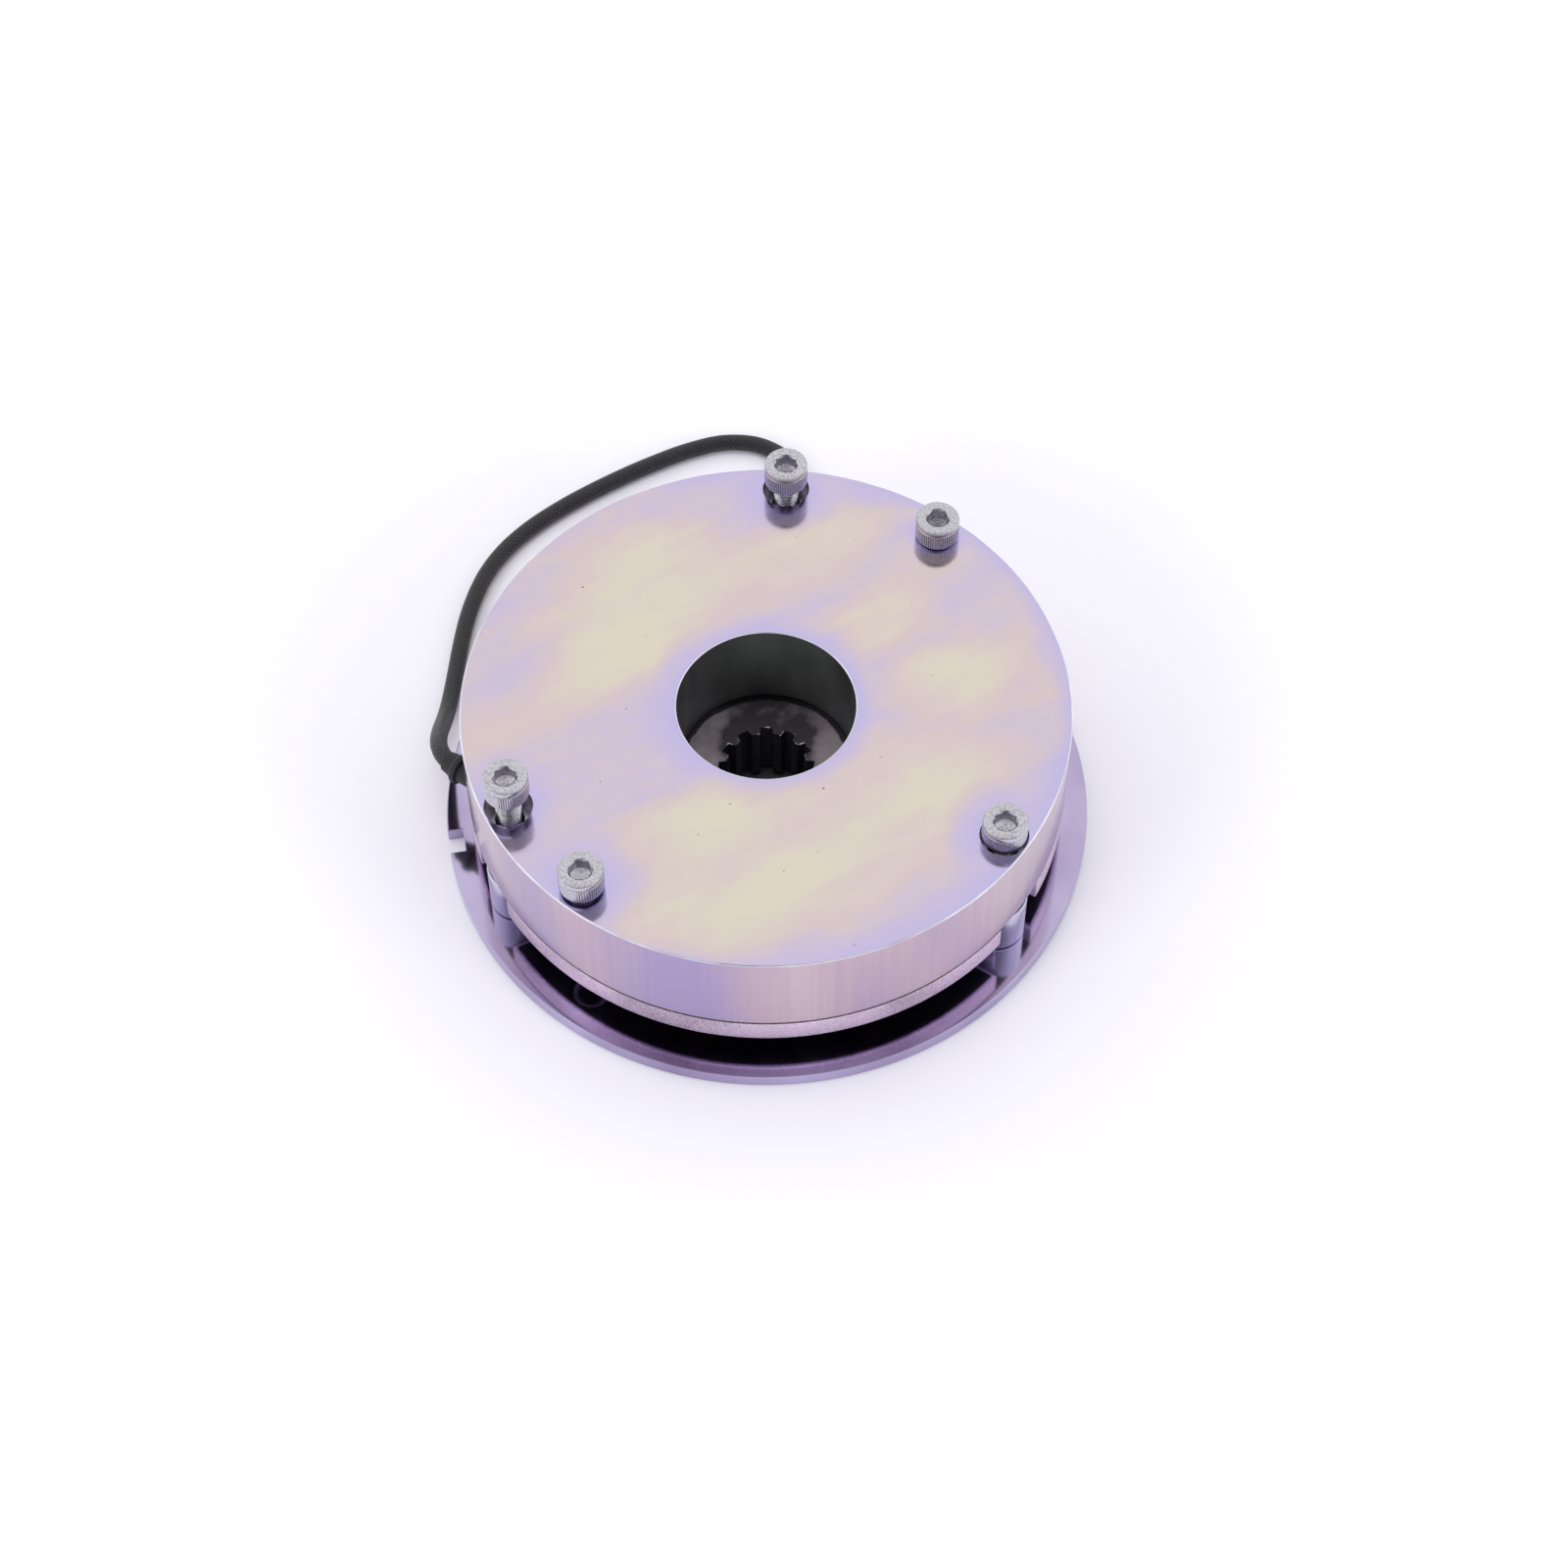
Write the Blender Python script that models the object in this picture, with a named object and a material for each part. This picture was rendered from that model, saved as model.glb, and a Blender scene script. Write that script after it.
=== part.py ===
"""Spring-applied electromagnetic disc brake, 116 mm, with its screws left loose as it is shipped.

Frame: metres, +Z up. The origin is the centre of the flange plate's bottom face and +Z is the shaft axis.
From the bottom up: flange plate, friction rotor on its splined hub, armature plate, air gap, magnet body.
Three spacer sleeves hold the magnet body above the flange plate, and the armature plate slides on them.
"""

from math import cos, pi, radians, sin

import bmesh
import bpy
import numpy as np
from mathutils import Matrix, Vector

# ---------------------------------------------------------------- driving dimensions, metres and degrees

GAP = 0.0003  # clearance between pieces that rest on or fit in each other
EDGE_CHAMFER = 0.00025

MAGNET_RADIUS = 0.0580
MAGNET_HEIGHT = 0.0200
MAGNET_BORE_RADIUS = 0.0170
INNER_POLE_WALL = 0.0110
OUTER_POLE_WALL = 0.0019  # between the coil groove and the counterbores
COIL_GROOVE_DEPTH = 0.0140
RIM_WALL = 0.0004  # left outside each counterbore

AIR_GAP = 0.0005
ARMATURE_THICKNESS = 0.0054
ARMATURE_HOLE_CLEARANCE = 0.0010
NOTCH_CLEARANCE = 0.0008  # armature notch round a sleeve

FLANGE_OVERHANG = 0.0050  # flange plate beyond the magnet body
FLANGE_THICKNESS = 0.0030
FLANGE_HOLE_CLEARANCE = 0.0020
RIM_SLOT_AZIMUTH = 189.0
RIM_SLOT_WIDTH = 0.0050
RIM_SLOT_DEPTH = 0.0030

SLEEVE_RADIUS = 0.0055
ROTOR_CLEARANCE = 0.0010  # rotor rim to the sleeves
LINING_THICKNESS = 0.0013
LINING_INSET = 0.0005  # lining rim inside the disc rim
LINING_BORE_CLEARANCE = 0.0040
DISC_THICKNESS = 0.0016

HUB_OVER_BORE = 0.0010  # hub boss radius beyond the magnet bore
HUB_TOP_CLEARANCE = 0.0004  # hub face below the magnet's pole face
HUB_FOOT = 0.0008  # hub's lower end above the flange's bottom face
HUB_SHOULDER = 0.0024  # boss radius beyond the driving teeth
TOOTH_HEIGHT = 0.0014
TOOTH_ROOT_SHARE = 0.60  # of the pitch
TOOTH_TIP_SHARE = 0.42
DRIVE_TEETH = 12
SHAFT_SPLINE_MINOR = 0.00775
SHAFT_SPLINE_MAJOR = 0.0092
SHAFT_SPLINE_GROOVES = 12

SCREW_RADIUS = 0.0025  # M5
COUNTERBORE_DEPTH = 0.0043
HEAD_HOLE_CLEARANCE = 0.00035
MOUNTING_AZIMUTHS = (205.4, 325.4, 85.4)
MOUNTING_RISES = (0.0046, -GAP, 0.0027)  # underside of each head above the magnet's top face
RELEASE_AZIMUTHS = (230.4, 50.4)
RELEASE_RISES = (0.0011, GAP)
RELEASE_GRIP = 0.0045  # thread of a release screw inside the armature plate

SPRING_COUNT = 6
SPRING_RADIUS = 0.00225  # to the middle of the wire
SPRING_WIRE_RADIUS = 0.00045
SPRING_TURNS = 5
SPRING_STEPS = 8  # points in a turn
SPRING_POCKET_DEPTH = 0.0120

BOBBIN_WALL = 0.0008
POTTING_THICKNESS = 0.0007

LEAD_RADIUS = 0.0017
LEAD_AZIMUTH = 184.0
LEAD_SLANT = 40.0  # outlet's turn from radial towards the back
LEAD_HEIGHT = 0.0042  # outlet's axis above the magnet's pole face
GROMMET_WALL = 0.0007
GROMMET_NOSE = 0.0025  # grommet outside the magnet body
GROMMET_SEAT = 0.0040  # and inside it
CONNECTOR_SIZE = (0.0120, 0.0064, 0.0052)
CONNECTOR_SOCKET = (0.0030, 0.0018, 0.0018)
CONNECTOR_PITCH = 0.0030
CONNECTOR_LATCH = (0.0060, 0.0022, 0.0008)

# The lead's route from the grommet: beside the magnet body, down to the surface that the brake stands on,
# round the back, and once round behind the flange plate to the connector.
LEAD_POINTS = (
    (-0.0606, -0.0021, 0.0185),
    (-0.0618, -0.0009, 0.0184),
    (-0.0628, 0.0009, 0.0179),
    (-0.0636, 0.0037, 0.0166),
    (-0.0640, 0.0074, 0.0141),
    (-0.0642, 0.0118, 0.0104),
    (-0.0642, 0.0163, 0.0066),
    (-0.0640, 0.0208, 0.0037),
    (-0.0636, 0.0257, 0.0022),
    (-0.0630, 0.0317, 0.00175),
    (-0.0623, 0.0385, 0.00175),
    (-0.0614, 0.0450, 0.00175),
    (-0.0600, 0.0513, 0.00175),
    (-0.0578, 0.0576, 0.00175),
    (-0.0546, 0.0633, 0.00175),
    (-0.0504, 0.0684, 0.00175),
    (-0.0454, 0.0730, 0.00175),
    (-0.0392, 0.0777, 0.00175),
    (-0.0315, 0.0827, 0.00175),
    (-0.0235, 0.0872, 0.00175),
    (-0.0160, 0.0907, 0.00175),
    (-0.0085, 0.0928, 0.00175),
    (-0.0010, 0.0920, 0.00175),
    (0.0050, 0.0877, 0.00175),
    (0.0075, 0.0812, 0.00175),
    (0.0062, 0.0745, 0.00175),
    (0.0010, 0.0698, 0.00175),
    (-0.0064, 0.0678, 0.00175),
    (-0.0148, 0.0665, 0.00175),
    (-0.0234, 0.0636, 0.00175),
    (-0.0313, 0.0597, 0.0020),
    (-0.0384, 0.0551, 0.0024),
)
LEAD_STEP = 0.0048  # between the tube's rings
LEAD_SAMPLES = 24  # of the smooth line between two of its points

ROUND_STEPS = 72  # facets of a large round
FIT_STEPS = 40  # facets of the coil, rotor and bore
HOLE_STEPS = 20  # facets of a screw, sleeve or hole

# ---------------------------------------------------------------- sizes and levels that follow

HEAD_RADIUS = 1.7 * SCREW_RADIUS  # socket head cap screw proportions
HEAD_HEIGHT = 2 * SCREW_RADIUS
HEX_FLATS = 1.6 * SCREW_RADIUS  # across flats
HEX_DEPTH = SCREW_RADIUS
HEAD_CHAMFER = SCREW_RADIUS / 6
POINT_CHAMFER = SCREW_RADIUS / 5
SCREW_HOLE_RADIUS = SCREW_RADIUS + GAP
COUNTERBORE_RADIUS = HEAD_RADIUS + HEAD_HOLE_CLEARANCE

BOLT_CIRCLE = MAGNET_RADIUS - RIM_WALL - COUNTERBORE_RADIUS
FLANGE_RADIUS = MAGNET_RADIUS + FLANGE_OVERHANG
OUTLET_RADIUS = LEAD_RADIUS + GROMMET_WALL + GAP
ROTOR_RADIUS = BOLT_CIRCLE - SLEEVE_RADIUS - ROTOR_CLEARANCE
GROOVE_INNER = MAGNET_BORE_RADIUS + INNER_POLE_WALL
GROOVE_OUTER = BOLT_CIRCLE - COUNTERBORE_RADIUS - OUTER_POLE_WALL
SPRING_CIRCLE = MAGNET_BORE_RADIUS + INNER_POLE_WALL / 2
SPRING_POCKET_RADIUS = SPRING_RADIUS + SPRING_WIRE_RADIUS + GAP

HUB_RADIUS = MAGNET_BORE_RADIUS + HUB_OVER_BORE
ARMATURE_HOLE = HUB_RADIUS + ARMATURE_HOLE_CLEARANCE
FLANGE_HOLE = HUB_RADIUS + FLANGE_HOLE_CLEARANCE
LINING_BORE = FLANGE_HOLE + LINING_BORE_CLEARANCE
TOOTH_TIP = HUB_RADIUS - HUB_SHOULDER
TOOTH_ROOT = TOOTH_TIP - TOOTH_HEIGHT
COLLAR_RADIUS = HUB_RADIUS + GAP

LOWER_LINING = FLANGE_THICKNESS + GAP
DISC_BOTTOM = LOWER_LINING + LINING_THICKNESS + GAP
UPPER_LINING = DISC_BOTTOM + DISC_THICKNESS + GAP
ARMATURE_BOTTOM = UPPER_LINING + LINING_THICKNESS + GAP
ARMATURE_TOP = ARMATURE_BOTTOM + ARMATURE_THICKNESS
MAGNET_BOTTOM = ARMATURE_TOP + AIR_GAP
MAGNET_TOP = MAGNET_BOTTOM + MAGNET_HEIGHT
HUB_TOP = MAGNET_BOTTOM - HUB_TOP_CLEARANCE

# A tightened mounting screw ends flush with the flange plate's bottom face.
MOUNTING_LENGTH = MAGNET_TOP - COUNTERBORE_DEPTH
RELEASE_LENGTH = MAGNET_HEIGHT + AIR_GAP + RELEASE_GRIP

THROUGH = 0.0020  # how far a cutter runs past a face


# ---------------------------------------------------------------- tools


def polar(radius, azimuth, height=0.0):
    """The point at a radius and an azimuth in degrees, counted from +X towards +Y."""
    return Vector((radius * cos(radians(azimuth)), radius * sin(radians(azimuth)), height))


def material(name, color, roughness, metallic=0.0):
    made = bpy.data.materials.new(name)
    made.use_nodes = True
    shader = made.node_tree.nodes["Principled BSDF"]
    shader.inputs["Base Color"].default_value = (*color, 1.0)
    shader.inputs["Roughness"].default_value = roughness
    shader.inputs["Metallic"].default_value = metallic
    made.diffuse_color = (*color, 1.0)
    return made


def mesh_from(bm, name, smooth_below=35.0):
    """The bmesh as a finished mesh: normals out, and smooth where its faces meet at a small angle."""
    bmesh.ops.recalc_face_normals(bm, faces=bm.faces)
    mesh = bpy.data.meshes.new(name)
    bm.to_mesh(mesh)
    bm.free()
    mesh.shade_smooth()
    mesh.set_sharp_from_angle(angle=radians(smooth_below))
    return mesh


def place(name, data, finish, location=(0.0, 0.0, 0.0), turn=0.0):
    """An object on the shaft axis's empty, turned about Z by degrees."""
    made = bpy.data.objects.new(name, data)
    made.location = location
    made.rotation_euler = (0.0, 0.0, radians(turn))
    made.parent = axis
    if not data.materials:
        data.materials.append(finish)
    bpy.context.scene.collection.objects.link(made)
    return made


def add_turned(bm, profile, steps, at=(0.0, 0.0, 0.0)):
    """Turns (radius, height) points about Z. A profile that stays off the axis is a ring's section."""
    before = set(bm.verts)
    verts = [bm.verts.new((radius, 0.0, height)) for radius, height in profile]
    pairs = list(zip(verts, verts[1:]))
    if profile[0][0] > 0.0:
        pairs.append((verts[-1], verts[0]))
    edges = [bm.edges.new(pair) for pair in pairs]
    bmesh.ops.spin(
        bm, geom=verts + edges, cent=(0.0, 0.0, 0.0), axis=(0.0, 0.0, 1.0),
        angle=2 * pi, steps=steps, use_merge=True,
    )
    made = [vert for vert in bm.verts if vert not in before]
    bmesh.ops.translate(bm, verts=made, vec=at)
    bmesh.ops.remove_doubles(bm, verts=made, dist=1e-6)


def turned(name, profile, steps):
    bm = bmesh.new()
    add_turned(bm, profile, steps)
    return mesh_from(bm, name)


def ring_profile(inner, outer, bottom, top, chamfer=0.0):
    """A rectangular ring section, with its outer corners and its inner ones chamfered alike."""
    if not chamfer:
        return [(inner, bottom), (outer, bottom), (outer, top), (inner, top)]
    return [
        (inner, bottom + chamfer), (inner + chamfer, bottom),
        (outer - chamfer, bottom), (outer, bottom + chamfer),
        (outer, top - chamfer), (outer - chamfer, top),
        (inner + chamfer, top), (inner, top - chamfer),
    ]


def add_prism(bm, outline, bottom, top):
    """A flat outline of (x, y) points raised into a prism."""
    face = bm.faces.new([bm.verts.new((x, y, bottom)) for x, y in outline])
    raised = bmesh.ops.extrude_face_region(bm, geom=[face])["geom"]
    up = [item for item in raised if isinstance(item, bmesh.types.BMVert)]
    bmesh.ops.translate(bm, verts=up, vec=(0.0, 0.0, top - bottom))


def prism(name, outline, bottom, top):
    bm = bmesh.new()
    add_prism(bm, outline, bottom, top)
    return mesh_from(bm, name)


def spline_outline(root, tip, count, clearance=0.0):
    """A toothed outline. With a clearance it is the opening that such teeth run in."""
    points = []
    pitch = 2 * pi / count
    for tooth in range(count):
        middle = pi / 2 + tooth * pitch
        corners = (
            (root, TOOTH_ROOT_SHARE, -1), (tip, TOOTH_TIP_SHARE, -1),
            (tip, TOOTH_TIP_SHARE, 1), (root, TOOTH_ROOT_SHARE, 1),
        )
        for radius, share, side in corners:
            angle = middle + side * (share * pitch / 2 + clearance / radius)
            reach = radius + clearance
            points.append((reach * cos(angle), reach * sin(angle)))
    return points


def box_mesh(name, size, bevel=0.0):
    bm = bmesh.new()
    bmesh.ops.create_cube(bm, size=1.0)
    bmesh.ops.scale(bm, verts=bm.verts, vec=size)
    if bevel:
        bmesh.ops.bevel(
            bm, geom=list(bm.edges), offset=bevel, segments=1, profile=0.5, affect="EDGES", material=-1,
        )
    return mesh_from(bm, name)


def combine(target, mesh, operation, matrix=None):
    """Cuts target with a mesh, or joins the mesh to it. The mesh stays as a hidden wire object."""
    tool = bpy.data.objects.new(mesh.name, mesh)
    tool.parent = axis
    if matrix is not None:
        tool.matrix_local = matrix
    tool.hide_render = True
    tool.display_type = "WIRE"
    bpy.context.scene.collection.objects.link(tool)
    change = target.modifiers.new(mesh.name, "BOOLEAN")
    change.operation = operation
    change.solver = "EXACT"
    change.object = tool


def holes(name, radius, centres, bottom, top):
    """Round cutters that stand side by side in one mesh."""
    bm = bmesh.new()
    profile = [(0.0, bottom), (radius, bottom), (radius, top), (0.0, top)]
    for centre in centres:
        add_turned(bm, profile, HOLE_STEPS, at=centre)
    return mesh_from(bm, name)


def smooth_line(points, step):
    """A Catmull-Rom curve through the points, read at even steps along its length."""
    ends = [2 * points[0] - points[1], *points, 2 * points[-1] - points[-2]]
    fine = []
    for a, b, c, d in zip(ends, ends[1:], ends[2:], ends[3:]):
        for t in np.linspace(0.0, 1.0, LEAD_SAMPLES, endpoint=False):
            curved = (2 * a - 5 * b + 4 * c - d) * t**2 + (3 * b - a - 3 * c + d) * t**3
            fine.append(b + 0.5 * ((c - a) * t + curved))
    fine.append(points[-1])
    fine = np.array(fine)
    along = np.concatenate([[0.0], np.cumsum(np.linalg.norm(np.diff(fine, axis=0), axis=1))])
    count = round(along[-1] / step)
    at = np.linspace(0.0, along[-1], count + 1)
    return np.column_stack([np.interp(at, along, fine[:, k]) for k in range(3)])


def tube_curve(name, points, radius, resolution):
    curve = bpy.data.curves.new(name, "CURVE")
    curve.dimensions = "3D"
    curve.bevel_depth = radius
    curve.bevel_resolution = resolution
    curve.use_fill_caps = True
    line = curve.splines.new("POLY")
    line.points.add(len(points) - 1)
    for point, place_at in zip(line.points, points):
        point.co = (*place_at, 1.0)
    return curve


# ---------------------------------------------------------------- the pieces

MOUNTING_PLACES = [polar(BOLT_CIRCLE, azimuth) for azimuth in MOUNTING_AZIMUTHS]
RELEASE_PLACES = [polar(BOLT_CIRCLE, azimuth) for azimuth in RELEASE_AZIMUTHS]
SPRING_PLACES = [polar(SPRING_CIRCLE, 360.0 * k / SPRING_COUNT) for k in range(SPRING_COUNT)]


def make_flange_plate():
    section = ring_profile(FLANGE_HOLE, FLANGE_RADIUS, 0.0, FLANGE_THICKNESS, EDGE_CHAMFER)
    plate = place("flange_plate", turned("flange_plate", section, ROUND_STEPS), zinc_purple)
    drilled = holes(
        "flange_screw_holes", SCREW_HOLE_RADIUS, MOUNTING_PLACES, -THROUGH, FLANGE_THICKNESS + THROUGH
    )
    combine(plate, drilled, "DIFFERENCE")
    slot = box_mesh(
        "flange_rim_slot", (2 * RIM_SLOT_DEPTH, RIM_SLOT_WIDTH, FLANGE_THICKNESS + 2 * THROUGH)
    )
    where = Matrix.Translation(polar(FLANGE_RADIUS, RIM_SLOT_AZIMUTH, FLANGE_THICKNESS / 2))
    combine(plate, slot, "DIFFERENCE", where @ Matrix.Rotation(radians(RIM_SLOT_AZIMUTH), 4, "Z"))


def make_sleeves():
    profile = ring_profile(
        SCREW_HOLE_RADIUS, SLEEVE_RADIUS, FLANGE_THICKNESS + GAP, MAGNET_BOTTOM - GAP, EDGE_CHAMFER
    )
    sleeve = turned("spacer_sleeve", profile, HOLE_STEPS)
    for number, where in enumerate(MOUNTING_PLACES, 1):
        place(f"spacer_sleeve_{number}", sleeve, zinc_blue, where)


def make_hub():
    boss = place(
        "splined_hub",
        turned("splined_hub", [
            (0.0, ARMATURE_BOTTOM), (HUB_RADIUS - EDGE_CHAMFER, ARMATURE_BOTTOM),
            (HUB_RADIUS, ARMATURE_BOTTOM + EDGE_CHAMFER), (HUB_RADIUS, HUB_TOP - EDGE_CHAMFER),
            (HUB_RADIUS - EDGE_CHAMFER, HUB_TOP), (0.0, HUB_TOP),
        ], FIT_STEPS),
        steel_grey,
    )
    teeth = prism(
        "hub_drive_teeth", spline_outline(TOOTH_ROOT, TOOTH_TIP, DRIVE_TEETH),
        HUB_FOOT, (ARMATURE_BOTTOM + HUB_TOP) / 2,
    )
    combine(boss, teeth, "UNION")
    bore = prism(
        "hub_shaft_spline", spline_outline(SHAFT_SPLINE_MINOR, SHAFT_SPLINE_MAJOR, SHAFT_SPLINE_GROOVES),
        -THROUGH, HUB_TOP + THROUGH,
    )
    combine(boss, bore, "DIFFERENCE")


def make_rotor():
    collar_bottom = HUB_FOOT
    collar_top = ARMATURE_BOTTOM - GAP
    disc_top = DISC_BOTTOM + DISC_THICKNESS
    profile = [
        (0.0, collar_bottom), (COLLAR_RADIUS, collar_bottom), (COLLAR_RADIUS, DISC_BOTTOM),
        (ROTOR_RADIUS - EDGE_CHAMFER, DISC_BOTTOM), (ROTOR_RADIUS, DISC_BOTTOM + EDGE_CHAMFER),
        (ROTOR_RADIUS, disc_top - EDGE_CHAMFER), (ROTOR_RADIUS - EDGE_CHAMFER, disc_top),
        (COLLAR_RADIUS, disc_top), (COLLAR_RADIUS, collar_top), (0.0, collar_top),
    ]
    disc = place("rotor_disc", turned("rotor_disc", profile, FIT_STEPS), aluminium)
    opening = prism(
        "rotor_tooth_opening", spline_outline(TOOTH_ROOT, TOOTH_TIP, DRIVE_TEETH, GAP),
        -THROUGH, collar_top + THROUGH,
    )
    combine(disc, opening, "DIFFERENCE")
    for name, bottom in (("friction_lining_lower", LOWER_LINING), ("friction_lining_upper", UPPER_LINING)):
        section = ring_profile(LINING_BORE, ROTOR_RADIUS - LINING_INSET, bottom, bottom + LINING_THICKNESS)
        place(name, turned(name, section, FIT_STEPS), lining)


def notch_outline(radius, reach):
    """A U open towards +X: a half round about the origin, then straight sides out to reach."""
    steps = HOLE_STEPS // 2
    arc = [pi / 2 + pi * k / steps for k in range(steps + 1)]
    return [(reach, radius)] + [(radius * cos(a), radius * sin(a)) for a in arc] + [(reach, -radius)]


def make_armature():
    section = ring_profile(ARMATURE_HOLE, MAGNET_RADIUS, ARMATURE_BOTTOM, ARMATURE_TOP, EDGE_CHAMFER)
    plate = place("armature_plate", turned("armature_plate", section, ROUND_STEPS), zinc_pink)
    reach = MAGNET_RADIUS - BOLT_CIRCLE + THROUGH
    outline = notch_outline(SLEEVE_RADIUS + NOTCH_CLEARANCE, reach)
    for number, azimuth in enumerate(MOUNTING_AZIMUTHS, 1):
        notch = prism(f"armature_notch_{number}", outline, ARMATURE_BOTTOM - THROUGH, ARMATURE_TOP + THROUGH)
        where = Matrix.Translation(polar(BOLT_CIRCLE, azimuth)) @ Matrix.Rotation(radians(azimuth), 4, "Z")
        combine(plate, notch, "DIFFERENCE", where)
    tapped = holes(
        "armature_tapped_holes", SCREW_HOLE_RADIUS, RELEASE_PLACES,
        ARMATURE_BOTTOM - THROUGH, ARMATURE_TOP + THROUGH,
    )
    combine(plate, tapped, "DIFFERENCE")


def lead_frame():
    """The outlet's axes at the magnet's side: +X along the lead as it leaves."""
    side = polar(MAGNET_RADIUS, LEAD_AZIMUTH, MAGNET_BOTTOM + LEAD_HEIGHT)
    return Matrix.Translation(side) @ Matrix.Rotation(radians(LEAD_AZIMUTH - LEAD_SLANT), 4, "Z")


def make_magnet():
    groove_top = MAGNET_BOTTOM + COIL_GROOVE_DEPTH
    chamfer = EDGE_CHAMFER
    profile = [
        (MAGNET_BORE_RADIUS, MAGNET_BOTTOM + chamfer), (MAGNET_BORE_RADIUS + chamfer, MAGNET_BOTTOM),
        (GROOVE_INNER, MAGNET_BOTTOM), (GROOVE_INNER, groove_top),
        (GROOVE_OUTER, groove_top), (GROOVE_OUTER, MAGNET_BOTTOM),
        (MAGNET_RADIUS - chamfer, MAGNET_BOTTOM), (MAGNET_RADIUS, MAGNET_BOTTOM + chamfer),
        (MAGNET_RADIUS, MAGNET_TOP - chamfer), (MAGNET_RADIUS - chamfer, MAGNET_TOP),
        (MAGNET_BORE_RADIUS + chamfer, MAGNET_TOP), (MAGNET_BORE_RADIUS, MAGNET_TOP - chamfer),
    ]
    body = place("magnet_body", turned("magnet_body", profile, ROUND_STEPS), zinc_iridescent)

    below, above, step = MAGNET_BOTTOM - THROUGH, MAGNET_TOP + THROUGH, MAGNET_TOP - COUNTERBORE_DEPTH
    stepped = [
        (0.0, below), (SCREW_HOLE_RADIUS, below), (SCREW_HOLE_RADIUS, step),
        (COUNTERBORE_RADIUS, step), (COUNTERBORE_RADIUS, above), (0.0, above),
    ]
    bm = bmesh.new()
    for where in MOUNTING_PLACES:
        add_turned(bm, stepped, HOLE_STEPS, at=where)
    combine(body, mesh_from(bm, "magnet_counterbores"), "DIFFERENCE")
    release = holes("magnet_release_holes", SCREW_HOLE_RADIUS, RELEASE_PLACES, below, above)
    combine(body, release, "DIFFERENCE")
    pocket_end = MAGNET_BOTTOM + SPRING_POCKET_DEPTH
    pockets = holes("magnet_spring_pockets", SPRING_POCKET_RADIUS, SPRING_PLACES, below, pocket_end)
    combine(body, pockets, "DIFFERENCE")
    inner_end = -(MAGNET_RADIUS - GROOVE_OUTER) / cos(radians(LEAD_SLANT)) - 2 * OUTLET_RADIUS
    bore = [(0.0, inner_end), (OUTLET_RADIUS, inner_end), (OUTLET_RADIUS, GROMMET_NOSE), (0.0, GROMMET_NOSE)]
    outlet = turned("magnet_lead_outlet", bore, HOLE_STEPS)
    combine(body, outlet, "DIFFERENCE", lead_frame() @ Matrix.Rotation(pi / 2, 4, "Y"))


def make_coil():
    """Bobbin open outwards, the winding in it, and the potting that closes the groove's mouth."""
    inner = GROOVE_INNER + GAP
    outer = GROOVE_OUTER - GAP
    top = MAGNET_BOTTOM + COIL_GROOVE_DEPTH - GAP
    potting_bottom = MAGNET_BOTTOM + GAP
    bottom = potting_bottom + POTTING_THICKNESS + GAP
    core, floor, ceiling = inner + BOBBIN_WALL, bottom + BOBBIN_WALL, top - BOBBIN_WALL
    bobbin = [
        (inner, bottom), (outer, bottom), (outer, floor), (core, floor),
        (core, ceiling), (outer, ceiling), (outer, top), (inner, top),
    ]
    place("coil_bobbin", turned("coil_bobbin", bobbin, FIT_STEPS), nylon)
    section = ring_profile(core + GAP, outer - GAP, floor + GAP, ceiling - GAP)
    place("coil_winding", turned("coil_winding", section, FIT_STEPS), copper)
    section = ring_profile(inner, outer, potting_bottom, potting_bottom + POTTING_THICKNESS)
    place("coil_potting", turned("coil_potting", section, FIT_STEPS), resin)


def make_springs():
    """Compression springs between the pockets' ends and the armature plate, all of one helix."""
    bottom = ARMATURE_TOP + GAP + SPRING_WIRE_RADIUS
    top = MAGNET_BOTTOM + SPRING_POCKET_DEPTH - GAP - SPRING_WIRE_RADIUS
    steps = SPRING_STEPS * SPRING_TURNS
    points = []
    for k in range(steps + 1):
        angle = 2 * pi * SPRING_TURNS * k / steps
        height = bottom + (top - bottom) * k / steps
        points.append((SPRING_RADIUS * cos(angle), SPRING_RADIUS * sin(angle), height))
    helix = tube_curve("pressure_spring", points, SPRING_WIRE_RADIUS, 1)
    for number, where in enumerate(SPRING_PLACES, 1):
        place(f"pressure_spring_{number}", helix, spring_steel, where)


def screw_mesh(name, length):
    """A socket head cap screw with its head's underside at the origin."""
    profile = [
        (0.0, -length), (SCREW_RADIUS - POINT_CHAMFER, -length), (SCREW_RADIUS, POINT_CHAMFER - length),
        (SCREW_RADIUS, 0.0), (HEAD_RADIUS, 0.0), (HEAD_RADIUS, HEAD_HEIGHT - HEAD_CHAMFER),
        (HEAD_RADIUS - HEAD_CHAMFER, HEAD_HEIGHT), (0.0, HEAD_HEIGHT),
    ]
    return turned(name, profile, HOLE_STEPS)


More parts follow.
